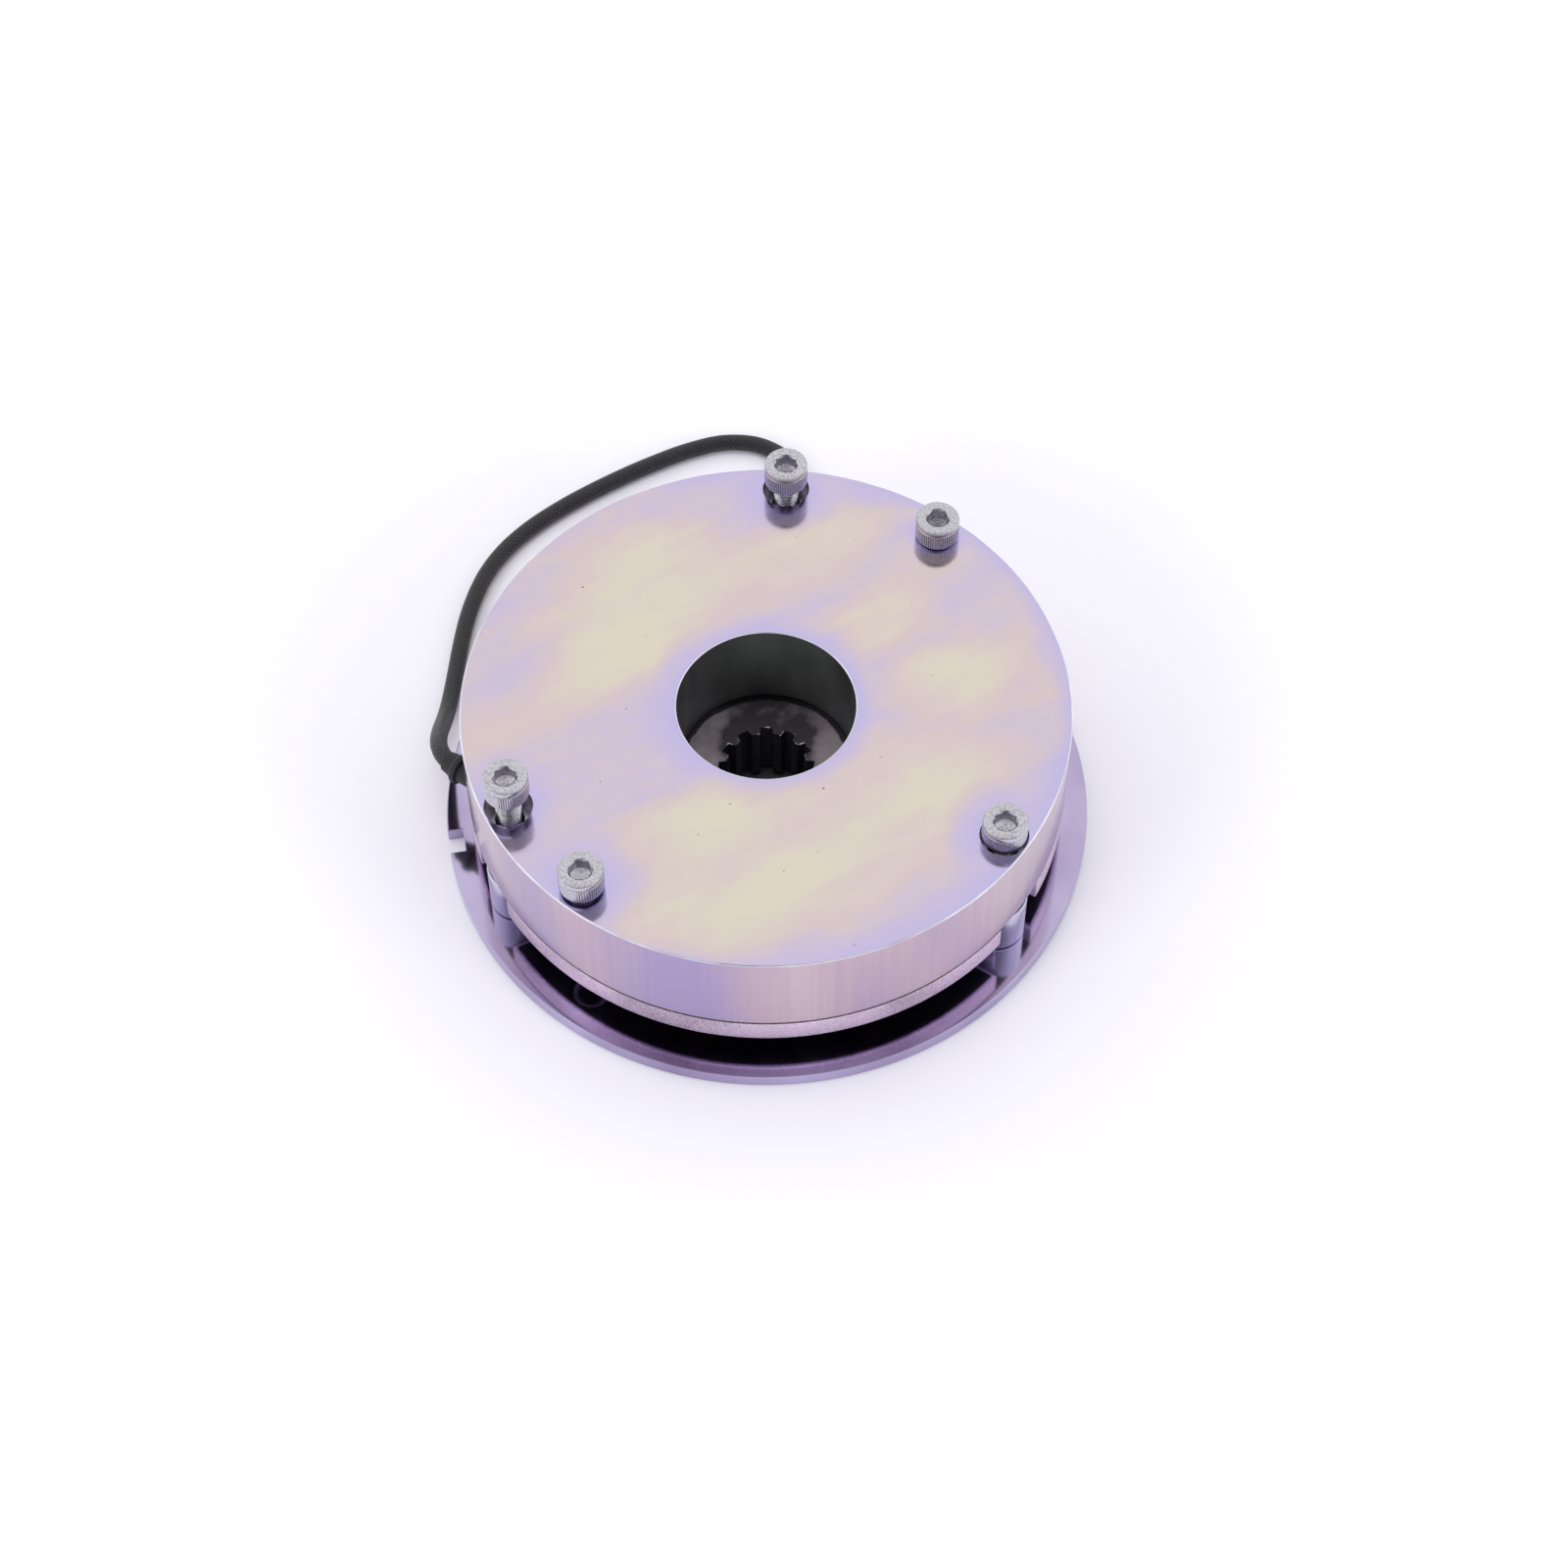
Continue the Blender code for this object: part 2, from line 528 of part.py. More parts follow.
def make_screws():
    corner = HEX_FLATS / 2 / cos(pi / 6)
    outline = [(corner * cos(pi / 3 * k), corner * sin(pi / 3 * k)) for k in range(6)]
    socket = prism("screw_socket", outline, HEAD_HEIGHT - HEX_DEPTH, HEAD_HEIGHT + THROUGH)
    rows = (
        ("mounting_screw", MOUNTING_LENGTH, MOUNTING_PLACES, MOUNTING_RISES, MOUNTING_AZIMUTHS),
        ("release_screw", RELEASE_LENGTH, RELEASE_PLACES, RELEASE_RISES, RELEASE_AZIMUTHS),
    )
    for kind, length, places, rises, azimuths in rows:
        blank = screw_mesh(kind, length)
        for number, (where, rise, azimuth) in enumerate(zip(places, rises, azimuths), 1):
            seat = Vector((where.x, where.y, MAGNET_TOP + rise))
            made = place(f"{kind}_{number}", blank, zinc_bright, seat, azimuth)
            facing = Matrix.Translation(seat) @ Matrix.Rotation(radians(azimuth), 4, "Z")
            combine(made, socket, "DIFFERENCE", facing)


def make_lead():
    """Grommet in the magnet's outlet, the lead, and the two-way connector on its end."""
    radius = LEAD_RADIUS + GROMMET_WALL
    profile = [
        (0.0, -GROMMET_SEAT), (radius, -GROMMET_SEAT), (radius, GROMMET_NOSE - GROMMET_WALL),
        (LEAD_RADIUS, GROMMET_NOSE), (0.0, GROMMET_NOSE),
    ]
    grommet = place("lead_grommet", turned("lead_grommet", profile, HOLE_STEPS), rubber)
    grommet.matrix_local = lead_frame() @ Matrix.Rotation(pi / 2, 4, "Y")

    line = smooth_line([np.array(point) for point in LEAD_POINTS], LEAD_STEP)
    place("lead_cable", tube_curve("lead_cable", line, LEAD_RADIUS, 2), sleeve_black)

    last, before = Vector(line[-1]), Vector(line[-2])
    heading = (last - before) * Vector((1.0, 1.0, 0.0))
    heading.normalize()
    length, width, height = CONNECTOR_SIZE
    centre = last + heading * (length / 2 + GAP)
    centre.z = height / 2
    facing = Matrix.Translation(centre) @ heading.to_track_quat("X", "Z").to_matrix().to_4x4()
    housing = place("lead_connector", box_mesh("lead_connector", CONNECTOR_SIZE, EDGE_CHAMFER), nylon)
    housing.matrix_local = facing
    for number, side in enumerate((-0.5, 0.5), 1):
        socket = box_mesh(f"connector_socket_{number}", CONNECTOR_SOCKET)
        way = Matrix.Translation((length / 2, side * CONNECTOR_PITCH, 0.0))
        combine(housing, socket, "DIFFERENCE", facing @ way)
    latch = box_mesh("connector_latch", CONNECTOR_LATCH)
    combine(housing, latch, "UNION", facing @ Matrix.Translation((0.0, 0.0, height / 2)))


# ---------------------------------------------------------------- the brake

for old in list(bpy.data.objects):
    bpy.data.objects.remove(old)

axis = bpy.data.objects.new("shaft_axis", None)
bpy.context.scene.collection.objects.link(axis)

zinc_iridescent = material("zinc_iridescent", (0.72, 0.64, 0.66), 0.25, 1.0)
zinc_pink = material("zinc_pink", (0.66, 0.55, 0.63), 0.40, 1.0)
zinc_purple = material("zinc_purple", (0.52, 0.42, 0.62), 0.20, 1.0)
zinc_blue = material("zinc_blue", (0.70, 0.72, 0.82), 0.30, 1.0)
zinc_bright = material("zinc_bright", (0.80, 0.79, 0.77), 0.25, 1.0)
steel_grey = material("steel_grey", (0.30, 0.30, 0.31), 0.55, 1.0)
spring_steel = material("spring_steel", (0.45, 0.45, 0.46), 0.35, 1.0)
aluminium = material("aluminium", (0.70, 0.70, 0.72), 0.45, 1.0)
copper = material("copper", (0.72, 0.34, 0.17), 0.35, 1.0)
lining = material("friction_lining", (0.05, 0.05, 0.05), 0.90)
nylon = material("nylon", (0.75, 0.74, 0.70), 0.50)
resin = material("potting_resin", (0.03, 0.03, 0.03), 0.30)
rubber = material("rubber", (0.02, 0.02, 0.02), 0.80)
sleeve_black = material("woven_sleeve", (0.03, 0.03, 0.035), 0.75)

make_flange_plate()
make_sleeves()
make_hub()
make_rotor()
make_armature()
make_magnet()
make_coil()
make_springs()
make_screws()
make_lead()
bpy.context.view_layer.update()
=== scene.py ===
"""Looks of a spring-applied electromagnetic disc brake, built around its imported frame.

Each operator makes one piece, or a group of like pieces, at its real size and place, and gives it its finish.
Lengths are in metres. +Z is the shaft axis, and the flange plate stands on the floor at Z 0.
"""

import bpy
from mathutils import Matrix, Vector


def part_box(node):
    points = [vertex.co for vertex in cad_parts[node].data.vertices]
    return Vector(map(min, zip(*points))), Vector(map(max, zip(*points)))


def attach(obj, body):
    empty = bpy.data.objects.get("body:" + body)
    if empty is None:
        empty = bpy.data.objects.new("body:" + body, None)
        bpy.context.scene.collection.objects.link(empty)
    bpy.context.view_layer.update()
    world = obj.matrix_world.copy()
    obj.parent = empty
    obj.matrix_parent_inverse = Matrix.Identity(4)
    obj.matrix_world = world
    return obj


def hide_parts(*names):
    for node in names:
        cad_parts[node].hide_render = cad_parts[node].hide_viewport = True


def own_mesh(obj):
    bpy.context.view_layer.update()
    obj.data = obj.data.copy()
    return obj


bl_info = {
    "name": "Disc Brake",
    "version": (1, 0, 0),
    "blender": (4, 5, 0),
    "location": "3D View > Sidebar > Disc Brake",
    "description": "Builds the plates, screws, hub, coil and lead of a 116 mm electromagnetic disc brake",
    "category": "Add Mesh",
}

from collections import namedtuple
from math import atan2, ceil, cos, pi, radians, sin, tan

import bmesh
import bpy
from mathutils import Matrix, Vector

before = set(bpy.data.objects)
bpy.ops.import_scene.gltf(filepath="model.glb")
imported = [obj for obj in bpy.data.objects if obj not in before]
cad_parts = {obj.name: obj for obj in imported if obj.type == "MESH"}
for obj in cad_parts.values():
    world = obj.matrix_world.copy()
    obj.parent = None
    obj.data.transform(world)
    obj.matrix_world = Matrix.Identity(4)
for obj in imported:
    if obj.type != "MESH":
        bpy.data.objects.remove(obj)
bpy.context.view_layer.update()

MM = 0.001
MERGE = 1e-7
LEVEL = 0.01 * MM  # heights and radii closer than this count as the same
CUTTER_REACH = 2 * MM  # how far a cutter runs past the face that it opens
STRIP_ANGLE = radians(0.2)  # faces flatter than this to each other are merged
SHARP_ANGLE = radians(35.0)  # edges sharper than this are shaded as edges
BROKEN_ANGLE = radians(40.0)  # edges sharper than this are broken with a rounding
RIM_STEPS = 240  # round the plates and the magnet body
WITHOUT_HEIGHT = Vector((1.0, 1.0, 0.0))

# The lead's route: out of the grommet, down beside the magnet body and round the back on the floor, then once
# round close behind the flange plate to its connector.
LYING = 0.00175  # the height of the lead's middle where it lies on the floor
LEAD_ROUTE = (
    (-0.0606, -0.0021, 0.0185),
    (-0.0618, -0.0009, 0.0184),
    (-0.0628, 0.0009, 0.0179),
    (-0.0636, 0.0037, 0.0166),
    (-0.0640, 0.0074, 0.0141),
    (-0.0642, 0.0118, 0.0104),
    (-0.0642, 0.0163, 0.0066),
    (-0.0640, 0.0208, 0.0037),
    (-0.0636, 0.0257, 0.0022),
    (-0.0630, 0.0317, LYING),
    (-0.0623, 0.0385, LYING),
    (-0.0614, 0.0450, LYING),
    (-0.0600, 0.0513, LYING),
    (-0.0578, 0.0576, LYING),
    (-0.0546, 0.0633, LYING),
    (-0.0504, 0.0684, LYING),
    (-0.0454, 0.0730, LYING),
    (-0.0392, 0.0777, LYING),
    (-0.0315, 0.0827, LYING),
    (-0.0235, 0.0872, LYING),
    (-0.0160, 0.0907, LYING),
    (-0.0085, 0.0928, LYING),
    (-0.0010, 0.0920, LYING),
    (0.0050, 0.0877, LYING),
    (0.0075, 0.0812, LYING),
    (0.0062, 0.0745, LYING),
    (0.0010, 0.0698, LYING),
    (-0.0064, 0.0678, LYING),
    (-0.0148, 0.0665, LYING),
    (-0.0234, 0.0636, LYING),
    (-0.0313, 0.0597, 0.0020),
    (-0.0384, 0.0551, 0.0024),
)

# Where the film on the magnet body's top face dried thickest: place, half length, half width and how thick.
# The pools slant, by degrees from +X, and their outlines wander.
FILM_SLANT = 30.0
FILM_WANDER = 13 * MM
FILM_POOLS = (
    (-0.031, 0.012, 0.017, 0.009, 0.46),
    (-0.023, 0.029, 0.026, 0.012, 0.46),
    (0.010, 0.040, 0.022, 0.009, 0.36),
    (0.022, 0.021, 0.013, 0.009, 0.42),
    (0.035, 0.007, 0.016, 0.009, 0.42),
    (-0.010, -0.023, 0.024, 0.009, 0.36),
    (0.001, -0.040, 0.027, 0.015, 0.50),
    (0.030, -0.020, 0.020, 0.011, 0.38),
)

MOUNTING_SCREWS = ("mounting_screw_1", "mounting_screw_2", "mounting_screw_3")
RELEASE_SCREWS = ("release_screw_1", "release_screw_2")
SLEEVES = ("spacer_sleeve_1", "spacer_sleeve_2", "spacer_sleeve_3")
SPRINGS = tuple(f"pressure_spring_{number}" for number in range(1, 7))

# The hub's driving teeth, which the rotor slides on, and how much of the pitch a tip and a root take.
SPLINE_TEETH = 12
TOOTH_ROOT = 14.2 * MM
TOOTH_TIP = 15.6 * MM
TIP_SHARE = 0.42
ROOT_SHARE = 0.4


def linear(code):
    """An sRGB hex colour such as 0xDBD0BF as a linear RGB colour."""
    channels = [(code >> shift & 255) / 255 for shift in (16, 8, 0)]
    return tuple(c / 12.92 if c <= 0.04045 else ((c + 0.055) / 1.055) ** 2.4 for c in channels)


# ---------------------------------------------------------------- what a user would change


def length(name, description, default):
    return bpy.props.FloatProperty(
        name=name, description=description, default=default, min=0.0, precision=5,
        unit="LENGTH", subtype="DISTANCE",
    )


def amount(name, description, default):
    return bpy.props.IntProperty(name=name, description=description, default=default, min=3)


def colour(name, description, code):
    return bpy.props.FloatVectorProperty(
        name=name, description=description, default=linear(code), size=3, min=0.0, max=1.0, subtype="COLOR"
    )


class BrakeSizes(bpy.types.PropertyGroup):
    """Sizes of the details that the frame leaves out."""

    fit_gap: length("Fit gap", "Clearance between pieces that fit in each other", 0.3 * MM)
    rim_round: length("Rim rounding", "Broken edge of the magnet body's rim and bore", 0.25 * MM)
    plate_round: length("Plate rounding", "Broken edge of the flange plate", 0.25 * MM)
    knurl_ridges: amount("Knurl ridges", "Straight ridges round a screw's head", 60)
    knurl_depth: length("Knurl depth", "Depth of the grooves between the ridges", 0.09 * MM)
    knurl_height: length("Knurl height", "How far up the head the ridges go", 3.7 * MM)
    head_height: length("Head height", "Height of a socket head", 5.0 * MM)
    hex_flats: length("Hexagon size", "Across the flats of a socket", 4.0 * MM)
    hex_depth: length("Hexagon depth", "Depth of a socket", 2.5 * MM)
    thread_pitch: length("Thread pitch", "Pitch of the M5 thread", 0.8 * MM)
    thread_depth: length("Thread depth", "Depth of the M5 thread", 0.49 * MM)
    wire_radius: length("Spring wire radius", "Half the thickness of a spring's wire", 0.45 * MM)
    spring_turns: amount("Spring turns", "Turns of a pressure spring", 5)
    lead_radius: length("Lead radius", "Half the thickness of the lead", 1.7 * MM)
    lead_length: length("Lead length", "Length of the lead from the grommet to its connector", 207.2 * MM)
    braid_pitch: length("Braid pitch", "Length in which a yarn of the braid goes once round", 11.0 * MM)


class BrakeFinishes(bpy.types.PropertyGroup):
    """Colours of the finishes."""

    film_blue: colour("Film, blue", "Thinnest passivation film, along edges and round holes", 0xBFB8E4)
    film_lilac: colour("Film, lilac", "Passivation film between blue and pink", 0xCBBFD9)
    film_pink: colour("Film, pink", "Passivation film of middle thickness", 0xD6C6C8)
    film_cream: colour("Film, cream", "Thickest passivation film, in the middle of a face", 0xDCD3C3)
    side_pink: colour("Side, pink", "The magnet body's turned side", 0xC6AFBD)
    side_lilac: colour("Side, lilac", "The magnet body's turned side where the film is thinner", 0xAD9DC3)
    flange_purple: colour("Flange, purple", "The flange plate's darker film", 0xA392B6)
    flange_lavender: colour("Flange, lavender", "The flange plate's paler film", 0xC8BFE0)
    armature_pink: colour("Armature", "The armature plate's granular film", 0xDAC6D8)
    sleeve_blue: colour("Sleeves", "Blue-white zinc", 0xE0E0F2)
    screw_silver: colour("Screws", "Bright zinc on the screws", 0xBEBCC3)
    bored_steel: colour("Bore", "Oiled steel in the bore", 0x757774)
    bored_shade: colour("Bore, shade", "Oiled steel where the oil lies thicker", 0x4A4950)
    hole_zinc: colour("Holes", "Zinc in the screw holes", 0xAFAAB6)
    hub_grey: colour("Hub", "Sintered steel", 0x867E83)
    sleeve_yarn: colour("Lead", "Varnished braid of the lead", 0x16161A)
    floor_white: colour("Floor", "Pale floor", 0xF6F5FC)


# ---------------------------------------------------------------- shapes

Extent = namedtuple("Extent", "low high centre foot inner outer")


def extent(node, about=None):
    """A CAD node's low and high corner, its centre, the centre's foot at Z 0, and its least and greatest
    radius about an upright axis, by default through the centre."""
    low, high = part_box(node)
    centre = (low + high) / 2
    axis = Vector(about) if about else centre.xy
    reach = [(vertex.co.xy - axis).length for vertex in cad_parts[node].data.vertices]
    return Extent(low, high, centre, Vector((centre.x, centre.y, 0.0)), min(reach), max(reach))


def rounded(corners, steps=4):
    """An outline of (radius, height, setback) corners, each rounded over its setback to both sides."""
    outline = []
    for here, (radius, height, setback) in enumerate(corners):
        corner = Vector((radius, height))
        before = Vector(corners[here - 1][:2])
        after = Vector(corners[(here + 1) % len(corners)][:2])
        start = corner + (before - corner).normalized() * setback
        end = corner + (after - corner).normalized() * setback
        shares = [step / steps for step in range(steps + 1)] if setback else [0.5]
        outline += [start * (1 - t) ** 2 + corner * 2 * t * (1 - t) + end * t**2 for t in shares]
    return outline


def add_lathe(bm, outline, steps, place=Matrix()):
    """Spins an outline of (radius, height) points round Z, then places it. One starting on Z stays open."""
    old = set(bm.verts)
    verts = [bm.verts.new((radius, 0.0, height)) for radius, height in outline]
    edges = [bm.edges.new(pair) for pair in zip(verts, verts[1:])]
    if outline[0][0] > MERGE:
        edges.append(bm.edges.new((verts[-1], verts[0])))
    bmesh.ops.spin(
        bm, geom=verts + edges, cent=(0.0, 0.0, 0.0), axis=(0.0, 0.0, 1.0),
        angle=2 * pi, steps=steps, use_merge=True,
    )
    made = [vert for vert in bm.verts if vert not in old]
    bmesh.ops.transform(bm, matrix=place, verts=made)
    bmesh.ops.remove_doubles(bm, verts=made, dist=MERGE)


def verts_and_edges(geometry):
    """The vertices and the edges in what an operator gives."""
    kinds = (bmesh.types.BMVert, bmesh.types.BMEdge)
    return [[item for item in geometry if isinstance(item, kind)] for kind in kinds]


def edges_of(verts):
    """The edges at some vertices, each once and in order."""
    return list(dict.fromkeys(edge for vert in verts for edge in vert.link_edges))


def add_prism(bm, outline, bottom, top, place=Matrix()):
    """Raises a flat outline of (x, y) points."""
    face = bm.faces.new([bm.verts.new(place @ Vector((x, y, bottom))) for x, y in outline])
    raised, _ = verts_and_edges(bmesh.ops.extrude_face_region(bm, geom=[face])["geom"])
    bmesh.ops.translate(bm, verts=raised, vec=place.to_3x3() @ Vector((0.0, 0.0, top - bottom)))


def add_loft(bm, loops):
    """A skin over loops of equally many points. Gives the first and the last loop's edges."""
    ring = [bm.verts.new(point) for point in loops[0]]
    first = edges = [bm.edges.new(pair) for pair in zip(ring, ring[1:] + ring[:1])]
    for loop in loops[1:]:
        places = dict(zip(ring, loop))
        verts, edges = verts_and_edges(bmesh.ops.extrude_edge_only(bm, edges=edges)["geom"])
        made = {}
        for vert in verts:
            neighbours = [edge.other_vert(vert) for edge in vert.link_edges]
            source = next(neighbour for neighbour in neighbours if neighbour in places)
            vert.co = places[source]
            made[source] = vert
        ring = [made[source] for source in ring]
    return first, edges


def add_box(bm, size, place, soft=0.0):
    """A box, with its edges rounded if soft."""
    made = bmesh.ops.create_cube(bm, size=1.0, matrix=place @ Matrix.Diagonal((*size, 1.0)))["verts"]
    if soft:
        bmesh.ops.bevel(
            bm, geom=edges_of(made), offset=soft, segments=2, profile=0.5, affect="EDGES", material=-1,
        )


def add_tube(bm, path, radius, sides, uv=None):
    """A tube along a path, with capped ends. Its UV map, if any, holds turns round and metres along it."""
    turn = bm.verts.layers.float.new("turn")
    along = bm.verts.layers.float.new("along")
    heading = (path[1] - path[0]).normalized()
    across = heading.orthogonal().normalized()
    ring = bmesh.ops.create_circle(bm, segments=sides, radius=1.0)["verts"]
    for vert in ring:
        vert[turn] = atan2(vert.co.y, vert.co.x) / (2 * pi) % 1.0
    travelled, last = 0.0, Matrix()
    first = edges = edges_of(ring)
    for here, point in enumerate(path):
        ahead = path[min(here + 1, len(path) - 1)] - path[max(here - 1, 0)]
        heading = ahead.normalized()
        across = (across - heading * across.dot(heading)).normalized()
        thick = radius(here / (len(path) - 1)) if callable(radius) else radius
        turned = Matrix((across, heading.cross(across), heading)).transposed().to_4x4()
        there = Matrix.Translation(point) @ turned @ Matrix.Diagonal((thick, thick, 1.0, 1.0))
        if here:
            travelled += (point - path[here - 1]).length
            ring, edges = verts_and_edges(bmesh.ops.extrude_edge_only(bm, edges=edges)["geom"])
        bmesh.ops.transform(bm, matrix=there @ last.inverted(), verts=ring)
        for vert in ring:
            vert[along] = travelled
        last = there
    bmesh.ops.edgeloop_fill(bm, edges=first)
    bmesh.ops.edgeloop_fill(bm, edges=edges)
    if uv:
        layer = bm.loops.layers.uv.new(uv)
        for face in bm.faces:
            turns = [loop.vert[turn] for loop in face.loops]
            wraps = max(turns) - min(turns) > 0.5
            for loop, at in zip(face.loops, turns):
                loop[layer].uv = (at + 1.0 if wraps and at < 0.5 else at, loop.vert[along])


def smooth_line(points, step, parts=40):
    """A Catmull-Rom curve through the points, read at even steps after drawing each stretch in many parts."""
    points = [Vector(point) for point in points]
    ends = [2 * points[0] - points[1], *points, 2 * points[-1] - points[-2]]
    fine = []
    for a, b, c, d in zip(ends, ends[1:], ends[2:], ends[3:]):
        for part in range(parts):
            t = part / parts
            curved = (2 * a - 5 * b + 4 * c - d) * t**2 + (3 * b - a - 3 * c + d) * t**3
            fine.append(b + 0.5 * ((c - a) * t + curved))
    fine.append(points[-1])
    along = [0.0]
    for before, after in zip(fine, fine[1:]):
        along.append(along[-1] + (after - before).length)
    count = ceil(along[-1] / step)
    line, here = [], 0
    for index in range(count + 1):
        at = along[-1] * index / count
        while here < len(fine) - 2 and along[here + 1] < at:
            here += 1
        share = (at - along[here]) / (along[here + 1] - along[here])
        line.append(fine[here].lerp(fine[here + 1], share))
    return line


def ring_outline(ring, soft=0.0):
    """The section of the plain ring that a CAD node's extent holds, with its corners rounded if soft."""
    low, high = ring.low.z, ring.high.z
    corners = [(ring.inner, low), (ring.outer, low), (ring.outer, high), (ring.inner, high)]
    return rounded([(*corner, soft) for corner in corners]) if soft else corners


def drill(bm, nodes, stretches, steps=64):
    """A cutter at each node's axis, with one radius for each stretch of height. It runs past both ends."""
    outline = [(0.0, stretches[0][1] - CUTTER_REACH)]
    for radius, low, high in stretches:
        outline += [(radius, low - CUTTER_REACH), (radius, high + CUTTER_REACH)]
    outline.append((0.0, stretches[-1][2] + CUTTER_REACH))
    for node in nodes:
        add_lathe(bm, outline, steps, Matrix.Translation(extent(node).foot))


def outlet_axis(start):
    """The lead's outlet: Z runs out of the magnet body along the grommet, and is 0 at the lead's start."""
    plug = extent("lead_grommet").centre
    heading = ((start - plug) * WITHOUT_HEIGHT).normalized()
    facing = heading.to_track_quat("Z", "Y").to_matrix().to_4x4()
    return Matrix.Translation((start.x, start.y, plug.z)) @ facing


def make_piece(name, bm, *finishes):
    """The bmesh as an object at the origin, with its faces pointing out."""
    bmesh.ops.recalc_face_normals(bm, faces=bm.faces)
    mesh = bpy.data.meshes.new(name)
    bm.to_mesh(mesh)
    bm.free()
    for finish in finishes:
        mesh.materials.append(finish)
    piece = bpy.data.objects.new(name, mesh)
    bpy.context.scene.collection.objects.link(piece)
    return piece


def tube_piece(name, path, radius, sides, finish, uv=None):
    """A piece that is one tube along a path."""
    bm = bmesh.new()
    add_tube(bm, path, radius, sides, uv)
    return make_piece(name, bm, finish)


def turned_piece(name, outline, steps, *finishes, place=Matrix()):
    """A piece turned from an outline of (radius, height) points."""
    bm = bmesh.new()
    add_lathe(bm, outline, steps, place)
    return make_piece(name, bm, *finishes)


def combine(piece, bm, operation="DIFFERENCE", finish=0):
    """Cuts a bmesh out of the piece, or joins it to the piece. Its faces bring the finish of that number."""
    for face in bm.faces:
        face.material_index = finish
    tool = make_piece(f"{piece.name}_tool", bm, *piece.data.materials)
    change = piece.modifiers.new("combine", "BOOLEAN")
    change.operation = operation
    change.object = tool
    evaluated = piece.evaluated_get(bpy.context.evaluated_depsgraph_get())
    combined = bpy.data.meshes.new_from_object(evaluated)
    piece.modifiers.remove(change)
    piece.data = combined
    bpy.data.objects.remove(tool)


def edit(piece, change):
    """Runs change on the piece's mesh as a bmesh."""
    bm = bmesh.new()
    bm.from_mesh(piece.data)
    bm.normal_update()
    change(bm)
    bm.to_mesh(piece.data)
    bm.free()


def paint(piece, rule):
    """Gives each face the finish number that rule says for its normal and centre."""

    def change(bm):
        for face in bm.faces:
            face.material_index = rule(face.normal, face.calc_center_median())

    edit(piece, change)


def lies_flat(edge):
    return abs(edge.verts[0].co.z - edge.verts[1].co.z) < LEVEL


def clear_slivers(piece):
    """Merges the flat faces that the cuts left in strips. The cuts give no fixed order, so the mesh is first
    sorted by how far it lies along a slanting line, and the result is the same each time."""
    slant = Vector((1.0, 0.618, 0.382))

    def change(bm):
        bm.verts.sort(key=lambda vert: vert.co.dot(slant))
        bm.edges.sort(key=lambda edge: (edge.verts[0].co + edge.verts[1].co).dot(slant))
        bm.faces.sort(key=lambda face: face.calc_center_median().dot(slant))
        bmesh.ops.dissolve_limit(bm, angle_limit=STRIP_ANGLE, verts=bm.verts, edges=bm.edges)

    edit(piece, change)


def break_edges(piece, width, finish, chosen=lambda edge: True, segments=4):
    """Rounds the piece's sharp edges that are chosen, and gives the rounding its own finish."""

    def change(bm):
        edges = [edge for edge in bm.edges if edge.calc_face_angle(0.0) > BROKEN_ANGLE and chosen(edge)]
        bmesh.ops.bevel(
            bm, geom=edges, offset=width, segments=segments, profile=0.5, affect="EDGES", material=finish,
        )

    edit(piece, change)


def settle(piece, body, slot, *nodes):
    """Shades the piece, lets it ride on a body, and has it stand for CAD nodes. Its slot is not used."""

    def shade(bm):
        for face in bm.faces:
            face.smooth = True
        for edge in bm.edges:
            meets_other = len({face.material_index for face in edge.link_faces}) > 1
            edge.smooth = not meets_other and edge.calc_face_angle(0.0) < SHARP_ANGLE

    edit(piece, shade)
    piece.modifiers.new("even_shading", "WEIGHTED_NORMAL").keep_sharp = True
    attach(piece, body)
    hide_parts(*nodes)
    return piece


# ---------------------------------------------------------------- finishes


def add(tree, kind, inputs=(), to=None, stops=(), **settings):
    """Adds a node with its settings, stops and links. An input is a value, a node or a node's socket."""
    made = tree.nodes.new(f"ShaderNode{kind}")
    for name, value in settings.items():
        setattr(made, name, value)
    for name, value in dict(inputs).items():
        source = value.outputs[0] if isinstance(value, bpy.types.Node) else value
        if isinstance(source, bpy.types.NodeSocket):
            tree.links.new(source, made.inputs[name])
        else:
            made.inputs[name].default_value = source
    if stops:
        ramp = made.color_ramp
        while len(ramp.elements) < len(stops):
            ramp.elements.new(0.5)
        for element, (place, tint) in zip(ramp.elements, stops):
            element.position = place
            element.color = (*tint[:3], 1.0)
    if to:
        tree.links.new(made.outputs[0], to)
    return made


def new_material(name, roughness, metallic=0.0):
    """A material, its tree and its shader, with what is the same all over set on the shader."""
    made = bpy.data.materials.new(name)
    made.use_nodes = True
    tree = made.node_tree
    shader = tree.nodes["Principled BSDF"]
    shader.inputs["Roughness"].default_value = roughness
    shader.inputs["Metallic"].default_value = metallic
    return made, tree, shader.inputs


def mottle(tree, size, detail=2.0, turn=0.0):
    """A cloudy pattern of patches of about the given size, one length or three, turned by degrees about Z."""
    sizes = size if isinstance(size, tuple) else (size,) * 3
    place = add(tree, "TexCoord").outputs["Object"]
    turned = add(tree, "Mapping", {"Vector": place, "Rotation": (0.0, 0.0, radians(turn))})
    scaled = add(tree, "Mapping", {"Vector": turned, "Scale": tuple(1.0 / each for each in sizes)})
    return add(tree, "TexNoise", {"Vector": scaled, "Scale": 1.0, "Detail": detail})


